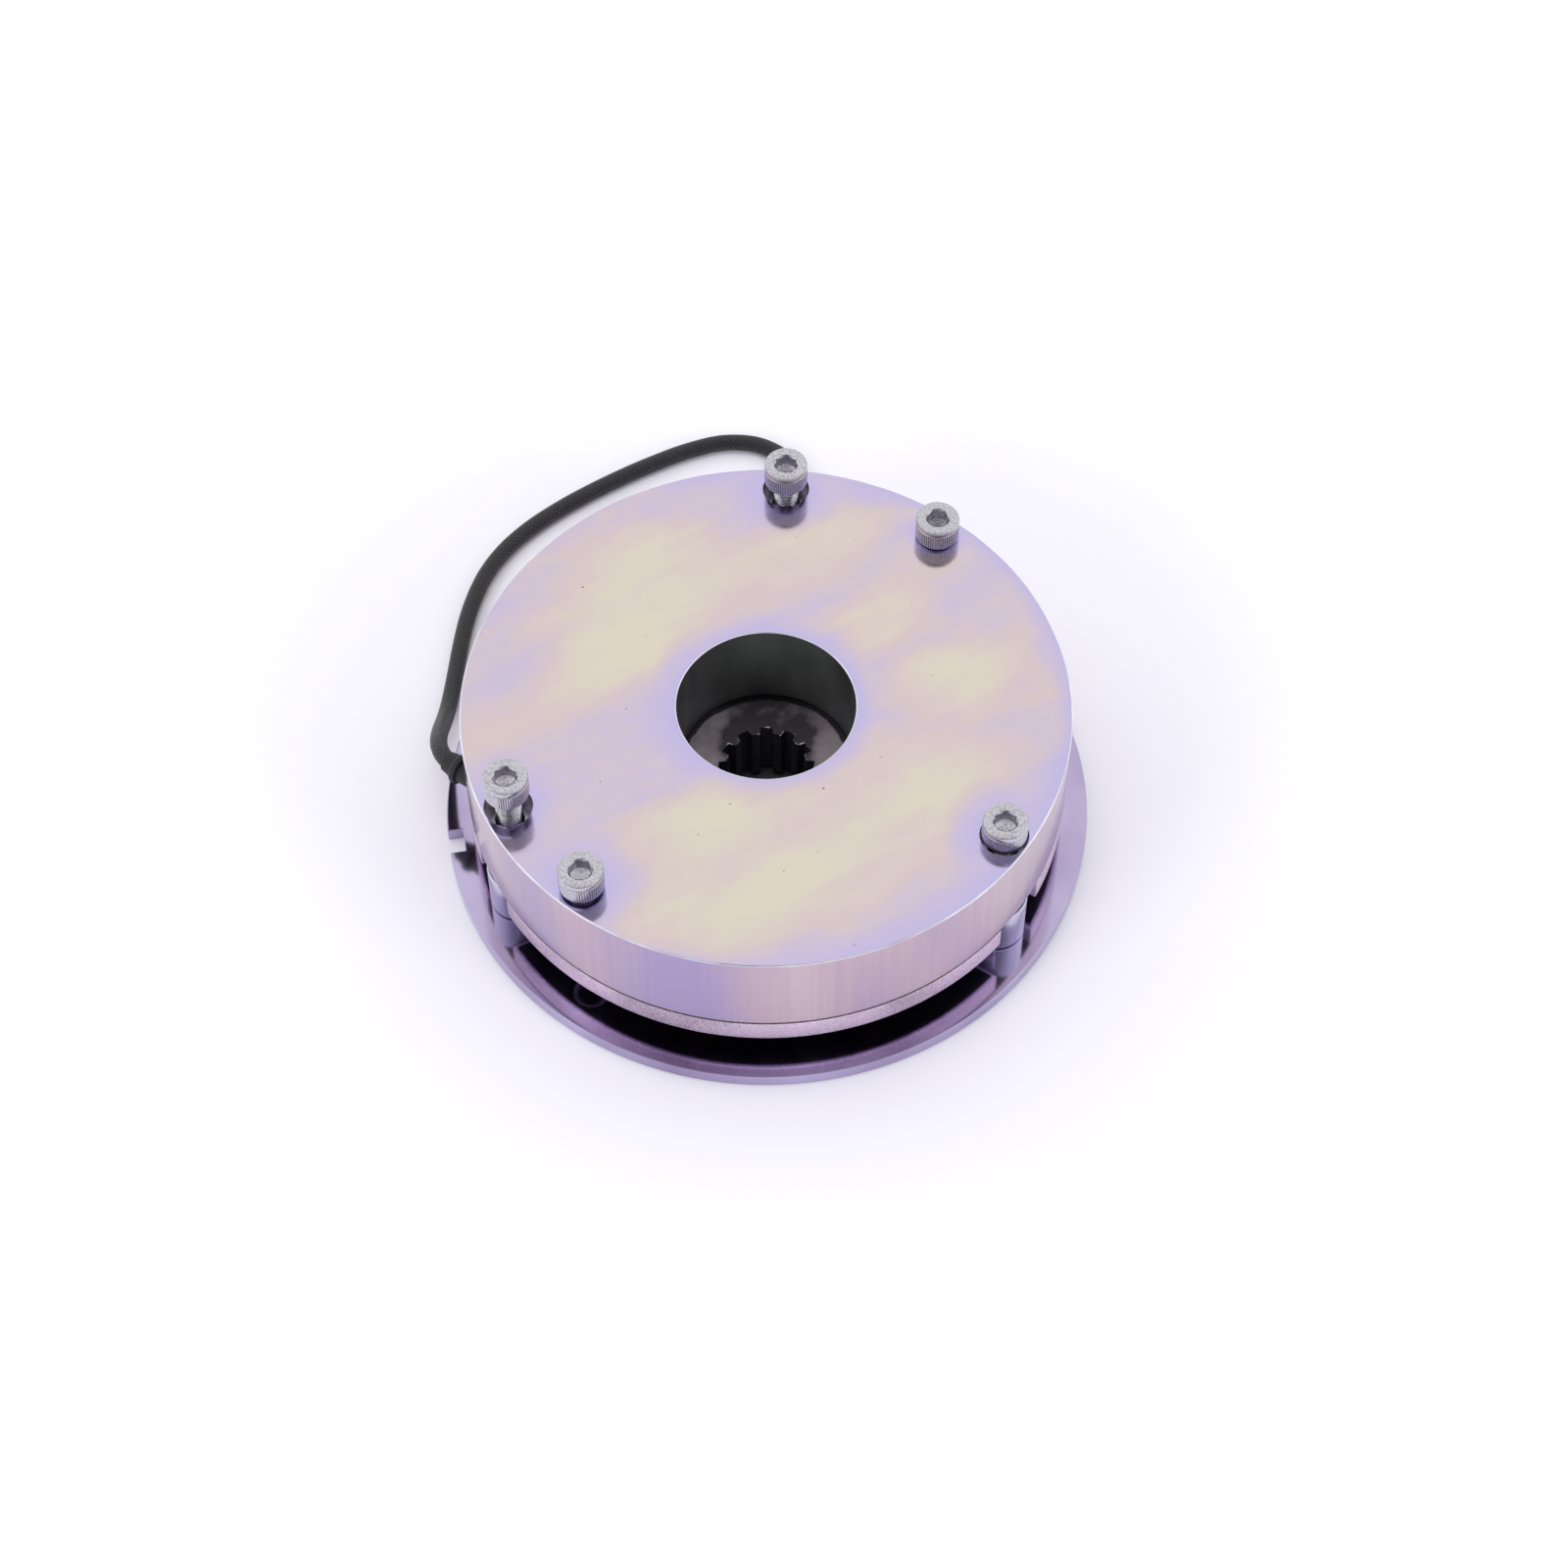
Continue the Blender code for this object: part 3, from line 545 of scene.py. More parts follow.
def seen_from_above(tree):
    """The place on the object without its height, and its distance from the shaft's axis."""
    place = add(tree, "TexCoord").outputs["Object"]
    flat = add(tree, "VectorMath", {0: place, 1: WITHOUT_HEIGHT}, operation="MULTIPLY")
    return flat, add(tree, "VectorMath", {0: flat}, operation="LENGTH").outputs["Value"]


def shades(tint, *shares):
    """The colour at several shares of its brightness."""
    return [tuple(min(1.0, share * channel) for channel in tint) for share in shares]


def give_grain(tree, sockets, level, stops, grain, rough, relief):
    """Colours a finish by its level. Its grain sets the relief, and the roughness between two values."""
    add(tree, "ValToRGB", {0: level}, sockets["Base Color"], stops)
    add(tree, "MapRange", {"Value": grain, "To Min": rough[0], "To Max": rough[1]}, sockets["Roughness"])
    add(tree, "Bump", {"Height": grain, "Distance": relief}, sockets["Normal"])


def mottled(name, roughness, metallic, dark, pale, size, relief=0.0, relief_size=None):
    """A finish of two close shades in patches of a given size. Its relief, if any, may have another size."""
    made, tree, sockets = new_material(name, roughness, metallic)
    pattern = mottle(tree, size, 3.0)
    add(tree, "ValToRGB", {0: pattern}, sockets["Base Color"], ((0.3, dark), (0.7, pale)))
    rough = {"Value": pattern, "To Min": 0.8 * roughness, "To Max": 1.2 * roughness}
    add(tree, "MapRange", rough, sockets["Roughness"])
    if relief:
        grain = mottle(tree, relief_size, 3.0) if relief_size else pattern
        add(tree, "Bump", {"Height": grain, "Distance": relief}, sockets["Normal"])
    return made


def pooled_film(tree, flat):
    """How thick the film dried on the top face: in soft clouds, and thickest in the slanting pools."""
    ragged = add(tree, "VectorMath", {
        0: mottle(tree, 16 * MM, 4.0).outputs["Color"], 1: (FILM_WANDER, FILM_WANDER, 0.0), 2: flat,
    }, operation="MULTIPLY_ADD")
    film = add(tree, "MapRange", {
        "Value": mottle(tree, (44 * MM, 17 * MM, MM), 3.0, turn=-FILM_SLANT),
        "From Min": 0.34, "From Max": 0.70, "To Min": 0.22, "To Max": 0.58,
    })
    for x, y, half_length, half_width, thickness in FILM_POOLS:
        middle = (x + FILM_WANDER / 2, y + FILM_WANDER / 2, 0.0)
        centred = add(tree, "VectorMath", {0: ragged, 1: middle}, operation="SUBTRACT")
        turned = add(tree, "Mapping", {"Vector": centred, "Rotation": (0.0, 0.0, radians(-FILM_SLANT))})
        scaled = add(tree, "Mapping", {"Vector": turned, "Scale": (1 / half_length, 1 / half_width, 0.0)})
        away = add(tree, "VectorMath", {0: scaled}, operation="LENGTH").outputs["Value"]
        pool = add(tree, "MapRange", {
            "Value": away, "From Min": 1.25, "From Max": 0.1, "To Max": thickness,
        }, interpolation_type="SMOOTHSTEP")
        film = add(tree, "Math", {0: film, 1: pool}, operation="ADD")
    return film


def distance_to_edge(tree, flat, from_axis):
    """How far a place on the top face is from the nearest of its rim, its bore and the screws."""
    body = extent("magnet_body", about=(0.0, 0.0))
    # The rim is bluest on the side where the bath drained off, at +X.
    rim = add(tree, "MapRange", {
        "Value": add(tree, "SeparateXYZ", {0: flat}), "From Min": -body.outer, "From Max": 0.6 * body.outer,
        "To Min": body.outer + 6 * MM, "To Max": body.outer,
    })
    nearest = add(tree, "Math", {0: rim, 1: from_axis}, operation="SUBTRACT")
    edges = [add(tree, "Math", {0: from_axis, 1: body.inner}, operation="SUBTRACT")]
    for node in (*MOUNTING_SCREWS, *RELEASE_SCREWS):
        screw = extent(node)
        away = add(tree, "VectorMath", {0: flat, 1: screw.foot}, operation="DISTANCE").outputs["Value"]
        edges.append(add(tree, "Math", {0: away, 1: screw.outer}, operation="SUBTRACT"))
    for edge in edges:
        nearest = add(tree, "Math", {0: nearest, 1: edge}, operation="MINIMUM")
    return nearest


def passivated_face(finishes):
    """Zinc under a clear chromate film: steel's gloss in pale colours that follow the film's thickness.
    The film is cream where it dried thickest, thin and blue along edges and holes, and finely streaked."""
    made, tree, sockets = new_material("passivated_zinc_face", 0.13, 1.0)
    flat, from_axis = seen_from_above(tree)
    film = pooled_film(tree, flat)
    wide = add(tree, "MapRange", {
        "Value": mottle(tree, 22 * MM, 3.0), "From Min": 0.3, "From Max": 0.7,
        "To Min": 2 * MM, "To Max": 12 * MM,
    })
    inner = add(tree, "MapRange", {"Value": distance_to_edge(tree, flat, from_axis), "From Max": wide})
    inner = add(tree, "Math", {0: inner, 1: 0.7}, operation="POWER")
    streaks = mottle(tree, (24 * MM, 2.4 * MM, MM), 2.0, turn=-FILM_SLANT)
    film = add(tree, "Math", {0: streaks, 1: 0.18, 2: film}, operation="MULTIPLY_ADD")
    film = add(tree, "Math", {0: mottle(tree, 4 * MM, 4.0), 1: 0.16, 2: film}, operation="MULTIPLY_ADD")
    film = add(tree, "Math", {0: film, 1: 0.12}, operation="SUBTRACT")
    film = add(tree, "Math", {0: film, 1: inner}, operation="MULTIPLY", use_clamp=True)
    bands = (
        (0.0, finishes.film_blue), (0.28, finishes.film_lilac),
        (0.54, finishes.film_pink), (0.88, finishes.film_cream),
    )
    tint = add(tree, "ValToRGB", {0: film}, stops=bands)
    dust = ((0.178, (0.35,) * 3), (0.19, (1.0,) * 3))
    specks = add(tree, "ValToRGB", {0: mottle(tree, MM, 1.0)}, stops=dust)
    add(tree, "VectorMath", {0: tint, 1: specks}, sockets["Base Color"], operation="MULTIPLY")
    dulled = {"Value": mottle(tree, 1.2 * MM, 3.0), "To Min": 0.10, "To Max": 0.17}
    add(tree, "MapRange", dulled, sockets["Roughness"])
    brushed = mottle(tree, (6 * MM, 0.5 * MM, MM), turn=-FILM_SLANT)
    add(tree, "Bump", {"Height": brushed, "Distance": 0.003 * MM}, sockets["Normal"])
    return made


def passivated_side(finishes):
    """The same film on a turned side: pink to lilac in broad upright bands, over the tool's fine lines."""
    made, tree, sockets = new_material("passivated_zinc_side", 0.16, 1.0)
    bands = ((0.34, finishes.side_lilac), (0.54, finishes.side_pink), (0.74, finishes.film_pink))
    film = mottle(tree, (26 * MM, 26 * MM, 90 * MM), 1.0)
    drawn = mottle(tree, (1.1 * MM, 1.1 * MM, 70 * MM), 2.0)
    film = add(tree, "Math", {0: drawn, 1: 0.22, 2: film}, operation="MULTIPLY_ADD")
    film = add(tree, "Math", {0: film, 1: 0.11}, operation="SUBTRACT")
    lines = mottle(tree, (30 * MM, 30 * MM, 0.25 * MM))
    give_grain(tree, sockets, film, bands, lines, (0.12, 0.22), 0.003 * MM)
    return made


def painted_highlight_edge():
    """A broken edge, painted brighter than the faces beside it as a painted highlight, and without their
    streaks.
    """
    return mottled("zinc_edge_painted_highlight", 0.16, 1.0, linear(0xCFCDDC), linear(0xF8F7FC), 6 * MM)


def oiled_steel(finishes):
    """Bored steel that the plating hardly reached: dark and oily, so that it scatters part of the light."""
    return mottled(
        "oiled_bored_steel", 0.34, 0.55, finishes.bored_shade, finishes.bored_steel,
        (12 * MM, 12 * MM, 40 * MM), 0.004 * MM, (20 * MM, 20 * MM, 0.2 * MM),
    )


def plated_hole(finishes):
    """Drilled holes and counterbores, where the bath left plain zinc: grey and half glossy."""
    dark, pale = shades(finishes.hole_zinc, 0.6, 1.0)
    return mottled("zinc_plated_hole", 0.26, 1.0, dark, pale, 2.5 * MM)


def polished_flange(finishes):
    """Rolled and polished steel under a thick purple film: nearly a mirror."""
    purple, lavender = finishes.flange_purple, finishes.flange_lavender
    return mottled("passivated_zinc_flange", 0.10, 1.0, purple, lavender, 30 * MM)


def tumbled_armature(finishes):
    """Blanked steel, tumbled before plating: the film lies on a grain that scatters the light."""
    made, tree, sockets = new_material("passivated_zinc_armature", 0.40, 0.8)
    grain = mottle(tree, 0.36 * MM, 3.0)  # real grit is finer and wouldn't show
    clouds = mottle(tree, 16 * MM)
    level = add(tree, "Math", {0: grain, 1: 0.55}, operation="MULTIPLY")
    level = add(tree, "Math", {0: clouds, 1: 0.45, 2: level}, operation="MULTIPLY_ADD")
    dark, pale = shades(finishes.armature_pink, 0.62, 1.3)
    stops = ((0.38, dark), (0.5, finishes.armature_pink), (0.62, pale))
    give_grain(tree, sockets, level, stops, grain, (0.28, 0.5), 0.06 * MM)
    return made


def ground_face():
    """The armature's ground friction face: bare steel, grey and dusted with lining wear."""
    return mottled("ground_friction_face", 0.4, 1.0, linear(0x3E3D40), linear(0x5C5B5F), 5 * MM)


def blue_white_zinc(finishes):
    """Turned sleeves in blue-white zinc: cool and glossy, with faint rings from the tool."""
    dark, pale = shades(finishes.sleeve_blue, 0.75, 1.0)
    return mottled(
        "blue_white_zinc", 0.20, 1.0, dark, pale, (4 * MM, 4 * MM, 9 * MM),
        0.004 * MM, (9 * MM, 9 * MM, 0.22 * MM),
    )


def screw_zinc(finishes):
    """Cold-headed screws in bright zinc: silvery, softly clouded, and glossiest where it is palest."""
    made, tree, sockets = new_material("bright_screw_zinc", 0.2, 1.0)
    grain = mottle(tree, 0.45 * MM, 4.0)
    dark, pale = shades(finishes.screw_silver, 0.74, 1.2)
    stops = ((0.30, dark), (0.46, finishes.screw_silver), (0.66, pale))
    give_grain(tree, sockets, grain, stops, grain, (0.28, 0.12), 0.018 * MM)
    return made


def sintered_hub(finishes):
    """Pressed and sintered steel, open-grained and dull with oxide. A painted reflection makes it paler at
    two sides and darker between them, and a ragged black band of painted shade runs round its rim, along the
    gap below the magnet body."""
    made, tree, sockets = new_material("sintered_hub_steel", 0.45, 0.2)
    flat, from_axis = seen_from_above(tree)
    worn = mottle(tree, 6 * MM, 7.0)
    # Painted reflection: paler towards both sides in X, darker in the middle.
    off_middle = add(tree, "Math", {0: add(tree, "SeparateXYZ", {0: flat})}, operation="ABSOLUTE")
    painted_reflection = add(tree, "MapRange", {
        "Value": off_middle, "From Min": 7 * MM, "From Max": 10.5 * MM, "To Min": -0.15, "To Max": 0.15,
    })
    level = add(tree, "Math", {0: worn, 1: painted_reflection}, operation="ADD")
    dark, pale = shades(finishes.hub_grey, 0.24, 1.6)
    stops = ((0.36, dark), (0.52, finishes.hub_grey), (0.74, pale))
    tint = add(tree, "ValToRGB", {0: level}, stops=stops)
    clouds = mottle(tree, 3 * MM, 4.0)
    # Painted shade in a ragged black band round the rim, along the gap below the magnet body.
    ragged = add(tree, "Math", {0: clouds, 1: 1.4 * MM, 2: from_axis}, operation="MULTIPLY_ADD")
    rim = extent("splined_hub").outer
    painted_gap_shade = add(tree, "MapRange", {
        "Value": ragged, "From Min": rim - 1.5 * MM, "From Max": rim - 1.2 * MM,
        "To Min": 1.0, "To Max": 0.08,
    })
    add(tree, "VectorMath", {0: tint, 1: painted_gap_shade}, sockets["Base Color"], operation="MULTIPLY")
    add(tree, "MapRange", {"Value": worn, "To Min": 0.6, "To Max": 0.32}, sockets["Roughness"])
    add(tree, "Bump", {"Height": mottle(tree, 0.4 * MM, 3.0), "Distance": 0.05 * MM}, sockets["Normal"])
    return made


def blackened_spline():
    """The broached spline, black with oil and wear debris."""
    return mottled(
        "blackened_spline_steel", 0.4, 0.2, linear(0x2A2A2E), linear(0x545359),
        (2 * MM, 2 * MM, 9 * MM), 0.02 * MM, (0.4 * MM, 0.4 * MM, 6 * MM),
    )


def painted_glint_edge():
    """The spline's top edge, where the broach left burrs, with painted highlights in bright spots here and
    there.
    """
    made, tree, sockets = new_material("spline_edge_painted_glints", 0.3, 0.8)
    stops = ((0.54, linear(0x2E2D32)), (0.62, linear(0x7C787C)), (0.70, linear(0xF4F2F4)))
    add(tree, "ValToRGB", {0: mottle(tree, 1.6 * MM, 2.0)}, sockets["Base Color"], stops)
    return made


def cast_aluminium():
    """Die-cast aluminium: pale, matt and softly clouded."""
    return mottled("cast_aluminium", 0.42, 1.0, linear(0x9A9A9E), linear(0xBCBCC0), 1.2 * MM, 0.02 * MM)


def friction_compound():
    """Pressed friction lining: near black, with paler fibres and filler."""
    dark, pale = linear(0x2C2B2F), linear(0x57555B)
    return mottled("pressed_friction_compound", 0.85, 0.0, dark, pale, 0.5 * MM, 0.05 * MM)


def drawn_wire():
    """Drawn spring steel: grey and smooth, with a light oil."""
    return mottled("drawn_spring_wire", 0.32, 1.0, linear(0x6C6C70), linear(0x8E8E94), 1.5 * MM)


def enamelled_copper():
    """The winding's wire in clear enamel: copper that shows its turns as fine bands."""
    turns = (8 * MM, 8 * MM, 0.5 * MM)
    return mottled("enamelled_copper", 0.3, 1.0, linear(0x9A4F2A), linear(0xC8763F), turns, 0.1 * MM)


def moulded_nylon():
    """Natural nylon: cream and faintly clouded, with a soft sheen."""
    return bpy.data.materials.get("moulded_nylon") or mottled(
        "moulded_nylon", 0.42, 0.0, linear(0xD5D1C4), linear(0xE6E3D8), 3 * MM
    )


def cast_epoxy():
    """Potting resin: glossy black, with a slight swell where it set."""
    return mottled("cast_epoxy", 0.25, 0.0, linear(0x101012), linear(0x1E1E22), 6 * MM, 0.03 * MM)


def moulded_rubber():
    """Grommet rubber: black and dull."""
    return mottled("moulded_rubber", 0.6, 0.0, linear(0x141416), linear(0x222226), 0.8 * MM, 0.01 * MM)


def shrunk_sleeve():
    """Heat-shrunk polyolefin: black, with the satin of the melted surface."""
    return mottled("shrunk_polyolefin", 0.35, 0.0, linear(0x151517), linear(0x26262A), 1.2 * MM, 0.01 * MM)


def tinned_brass():
    """Stamped contacts: brass, dulled by tin."""
    return mottled("tinned_brass", 0.25, 1.0, linear(0xB8A878), linear(0xD8CFAE), MM)


def varnished_braid(sizes, finishes):
    """Braided and varnished glass-fibre sleeve: charcoal with a dry sheen, painted shade between the yarns
    and painted highlights on their crowns.
    """
    made, tree, sockets = new_material("varnished_braid", 0.6)
    place = add(tree, "SeparateXYZ", {0: add(tree, "UVMap", uv_map="Braid")})
    carriers = 10.0  # yarns each way, coarser than the real ones so that they show
    around = add(tree, "Math", {0: place.outputs["X"], 1: carriers}, operation="MULTIPLY")
    along = add(tree, "Math", {0: place.outputs["Y"], 1: carriers / sizes.braid_pitch}, operation="MULTIPLY")
    yarns = []
    for way in ("ADD", "SUBTRACT"):
        turned = add(tree, "Math", {0: around, 1: along}, operation=way)
        phase = add(tree, "Math", {0: turned, 1: pi}, operation="MULTIPLY")
        wave = add(tree, "Math", {0: phase}, operation="SINE")
        yarns.append(add(tree, "Math", {0: wave}, operation="ABSOLUTE"))
    weave = add(tree, "Math", {0: yarns[0], 1: yarns[1]}, operation="MULTIPLY")
    speckle = add(tree, "Math", {0: mottle(tree, 0.5 * MM, 3.0), 1: 0.6}, operation="MULTIPLY")
    level = add(tree, "Math", {0: weave, 1: 0.45, 2: speckle}, operation="MULTIPLY_ADD")
    # Painted shade between the yarns and painted highlights on their crowns.
    stops = ((0.25, linear(0x0B0B0E)), (0.54, finishes.sleeve_yarn), (0.95, linear(0x3A3A44)))
    add(tree, "ValToRGB", {0: level}, sockets["Base Color"], stops)
    add(tree, "Bump", {"Height": level, "Distance": 0.14 * MM}, sockets["Normal"])
    sockets["Coat Weight"].default_value = 0.25
    sockets["Coat Roughness"].default_value = 0.35
    return made


def floor_card(finishes):
    """A sheet of pale card, so even that it only just shows its fibres' clouds. Under the bore it is darkened
    with painted shade, where the brake keeps the light off."""
    made, tree, sockets = new_material("floor_card", 0.7)
    dark, pale = shades(finishes.floor_white, 0.98, 1.0)
    tint = add(tree, "ValToRGB", {0: mottle(tree, 0.4)}, stops=((0.2, dark), (0.8, pale)))
    _, from_axis = seen_from_above(tree)
    # Painted shade on the floor under the hub's bore.
    painted_shade_under_bore = add(tree, "MapRange", {
        "Value": from_axis, "From Min": 12 * MM, "From Max": 18 * MM, "To Min": 0.12,
    })
    add(tree, "VectorMath", {0: tint, 1: painted_shade_under_bore}, sockets["Base Color"], operation="MULTIPLY")
    return made


# ---------------------------------------------------------------- operators


class BRAKE_OT_stage(bpy.types.Operator):
    """Pale floor, soft studio light and the camera"""

    bl_idname = "brake.stage"
    bl_label = "Stage"

    ELEVATION = radians(54.0)
    DISTANCE = 0.6148  # from the middle of the magnet body's top face
    LENS = 74.6
    AIM = Vector((3.2 * MM, -18.3 * MM, 0.0))  # what the camera centres on, from that middle
    NEAREST = 0.01  # how near to it the camera still sees
    FLOOR_SIZE = 24.0
    FLOOR_DROP = 0.02 * MM  # keeps the floor's plane clear of the flange plate's
    SURROUND_STRENGTH = 1.02
    SOFTBOXES = {  # place, size and power
        "overhead_softbox": ((-0.12, 0.05, 1.35), 0.5, 3.0),
        "left_softbox": ((-0.9, -0.72, 0.75), 0.5, 3.4),
        "right_softbox": ((0.95, -0.66, 0.65), 0.45, 2.8),
        "back_softbox": ((-1.1, 0.6, 0.5), 0.7, 1.2),
    }

    def execute(self, context):
        scene = context.scene
        scene.view_settings.view_transform = "Standard"
        face = Vector((0.0, 0.0, extent("magnet_body").high.z))
        towards_camera = Vector((0.0, -cos(self.ELEVATION), sin(self.ELEVATION)))
        camera = bpy.data.objects.new("camera", bpy.data.cameras.new("camera"))
        camera.data.lens = self.LENS
        camera.data.clip_start = self.NEAREST
        camera.location = face + towards_camera * self.DISTANCE
        camera.rotation_euler = (face + self.AIM - camera.location).to_track_quat("-Z", "Y").to_euler()
        scene.collection.objects.link(camera)
        scene.camera = camera

        bm = bmesh.new()
        bmesh.ops.create_grid(bm, x_segments=8, y_segments=8, size=self.FLOOR_SIZE / 2)
        bmesh.ops.translate(bm, verts=bm.verts, vec=(0.0, 0.0, -self.FLOOR_DROP))
        make_piece("floor", bm, floor_card(scene.brake_finishes))

        for name, (place, size, power) in self.SOFTBOXES.items():
            lamp = bpy.data.lights.new(name, "AREA")
            lamp.size = size
            lamp.energy = power
            softbox = bpy.data.objects.new(name, lamp)
            softbox.location = place
            softbox.visible_glossy = False  # mirrored whole, it would burn out a flat plate
            softbox.rotation_euler = (-softbox.location).to_track_quat("-Z", "Y").to_euler()
            scene.collection.objects.link(softbox)
        self.surround(scene, towards_camera)
        return {"FINISHED"}

    def surround(self, scene, towards_camera):
        """White surroundings, darker behind the camera."""
        world = bpy.data.worlds.new("studio")
        world.use_nodes = True
        tree = world.node_tree
        place = add(tree, "TexCoord").outputs["Generated"]
        facing = add(tree, "VectorMath", {0: place, 1: towards_camera}, operation="DOT_PRODUCT")
        stops = (
            (0.56, linear(0xFFFFFF)), (0.80, linear(0xDEDEE4)),
            (0.93, linear(0xA8A8B0)), (1.0, linear(0x74747C)),
        )
        sky = tree.nodes["Background"].inputs
        add(tree, "ValToRGB", {0: facing.outputs["Value"]}, sky["Color"], stops)
        sky["Strength"].default_value = self.SURROUND_STRENGTH
        scene.world = world


class BRAKE_OT_lead(bpy.types.Operator):
    """Braided lead, its grommet, and the shrunk collar and two-way connector on its end"""

    bl_idname = "brake.lead"
    bl_label = "Lead"

    STEP = 0.6 * MM
    SIDES = 24

    COLLAR_LENGTH = 9.0 * MM
    COLLAR_WALL = 0.25 * MM
    COLLAR_END = 0.4  # of its wall, reached over the last millimetre

    # The grommet's heights along the outlet, from the lead's start outwards
    BUSH_END = -7.0 * MM
    FLANGE_BACK = -2.6 * MM
    FLANGE_FRONT = -1.6 * MM
    NECK = -0.9 * MM
    NOSE = 1.2 * MM
    FLANGE_REACH = 0.7 * MM
    BORE_PLAY = 0.1 * MM
    GROMMET_SOFT = 0.2 * MM
    GROMMET_STEPS = 40

    LAST_POINTS = 8  # of the lead, which the connector lines up with
    HOUSING = Vector((12.0 * MM, 6.4 * MM, 5.2 * MM))
    WAY = Vector((10.0 * MM, 2.2 * MM, 2.6 * MM))
    WAY_OFFSET = 1.5 * MM
    CONTACT = Vector((5.0 * MM, 1.2 * MM, 1.2 * MM))
    CONTACT_INSET = Matrix.Translation((-3.0 * MM, 0.0, 0.0))
    LATCH = Vector((6.0 * MM, 2.2 * MM, 0.8 * MM))
    HOUSING_SOFT = 0.35 * MM
    CONTACT_SOFT = 0.2 * MM
    DETAIL_SOFT = 0.15 * MM

    def execute(self, context):
        sizes = context.scene.brake_sizes
        path = smooth_line(LEAD_ROUTE, self.STEP)
        braid = varnished_braid(sizes, context.scene.brake_finishes)
        lead = tube_piece("braided_lead", path, sizes.lead_radius, self.SIDES, braid, uv="Braid")
        settle(lead, "stator", "woven_sleeve", "lead_cable")

        def thickness(share):
            from_end = min(share, 1.0 - share) * self.COLLAR_LENGTH
            wall = self.COLLAR_END + (1.0 - self.COLLAR_END) * min(1.0, from_end / MM)
            return sizes.lead_radius + self.COLLAR_WALL * wall

        covered = path[-round(self.COLLAR_LENGTH / self.STEP):]
        collar = tube_piece("shrunk_collar", covered, thickness, self.SIDES, shrunk_sleeve())
        settle(collar, "stator", "rubber")
        grommet = self.mould_grommet(path[0], sizes)
        connector = self.mould_connector(path, sizes)
        return {"FINISHED"}

    def mould_grommet(self, start, sizes):
        """A bush in the outlet hole, with a flange outside and a nose that tapers round the lead."""
        plug = extent("lead_grommet")
        wide = (plug.high.z - plug.low.z) / 2
        bore = sizes.lead_radius + self.BORE_PLAY
        flange = wide + self.FLANGE_REACH
        soft = self.GROMMET_SOFT
        outline = rounded([
            (bore, self.BUSH_END, 0.0), (wide, self.BUSH_END, soft), (wide, self.FLANGE_BACK, 0.0),
            (flange, self.FLANGE_BACK, soft), (flange, self.FLANGE_FRONT, soft), (wide, self.NECK, soft),
            (bore + soft, self.NOSE, 0.0), (bore, self.NOSE, 0.0),
        ])
        place = outlet_axis(start)
        grommet = turned_piece("moulded_grommet", outline, self.GROMMET_STEPS, moulded_rubber(), place=place)
        return settle(grommet, "stator", "rubber", "lead_grommet")

    def mould_connector(self, path, sizes):
        """A housing with two ways, a contact in each, and a latch on top."""
        long, _, tall = self.HOUSING
        heading = ((path[-1] - path[-self.LAST_POINTS]) * WITHOUT_HEIGHT).normalized()
        centre = path[-1] + heading * (long / 2 + sizes.fit_gap)
        centre.z = tall / 2
        facing = Matrix.Translation(centre) @ heading.to_track_quat("X", "Z").to_matrix().to_4x4()
        housing, ways, contacts, latch = (bmesh.new() for _ in range(4))
        add_box(housing, self.HOUSING, facing, self.HOUSING_SOFT)
        for side in (-self.WAY_OFFSET, self.WAY_OFFSET):
            mouth = facing @ Matrix.Translation((long / 2, side, 0.0))
            add_box(ways, self.WAY, mouth, self.DETAIL_SOFT)
            add_box(contacts, self.CONTACT, mouth @ self.CONTACT_INSET, self.CONTACT_SOFT)
        add_box(latch, self.LATCH, facing @ Matrix.Translation((0.0, 0.0, tall / 2)), self.DETAIL_SOFT)
        connector = make_piece("moulded_connector", housing, moulded_nylon(), tinned_brass())
        combine(connector, ways)
        combine(connector, contacts, "UNION", finish=1)
        combine(connector, latch, "UNION")
        return settle(connector, "stator", "nylon", "lead_connector")


class BRAKE_OT_flange_plate(bpy.types.Operator):
    """Flange plate with its screw holes and rim slot"""

    bl_idname = "brake.flange_plate"
    bl_label = "Flange plate"

    SLOT_AZIMUTH = radians(189.0)
    SLOT_WIDTH = 5.0 * MM
    SLOT_DEPTH = 3.0 * MM

    def execute(self, context):
        plate = extent("flange_plate", about=(0.0, 0.0))
        low, high = plate.low.z, plate.high.z
        finish = polished_flange(context.scene.brake_finishes)
        flange = turned_piece("polished_flange_plate", ring_outline(plate), RIM_STEPS, finish)
        cuts = bmesh.new()
        drill(cuts, SLEEVES, [(extent(SLEEVES[0]).inner, low, high)])
        middle = Matrix.Translation((plate.outer, 0.0, plate.centre.z))
        slot = Matrix.Rotation(self.SLOT_AZIMUTH, 4, "Z") @ middle
        add_box(cuts, (2 * self.SLOT_DEPTH, self.SLOT_WIDTH, high - low + 2 * CUTTER_REACH), slot)
        combine(flange, cuts)
        clear_slivers(flange)
        break_edges(flange, context.scene.brake_sizes.plate_round, 0)
        settle(flange, "stator", "zinc_purple", "flange_plate")
        return {"FINISHED"}


class BRAKE_OT_spacer_sleeves(bpy.types.Operator):
    """Three turned sleeves that hold the magnet body above the flange plate"""

    bl_idname = "brake.spacer_sleeves"
    bl_label = "Spacer sleeves"
    STEPS = 72
    SOFT = 0.3 * MM

    def execute(self, context):
        zinc = blue_white_zinc(context.scene.brake_finishes)
        for node in SLEEVES:
            sleeve = extent(node)
            outline, place = ring_outline(sleeve, self.SOFT), Matrix.Translation(sleeve.foot)
            piece = turned_piece(f"turned_{node}", outline, self.STEPS, zinc, place=place)
            settle(piece, "stator", "zinc_blue", node)
        return {"FINISHED"}


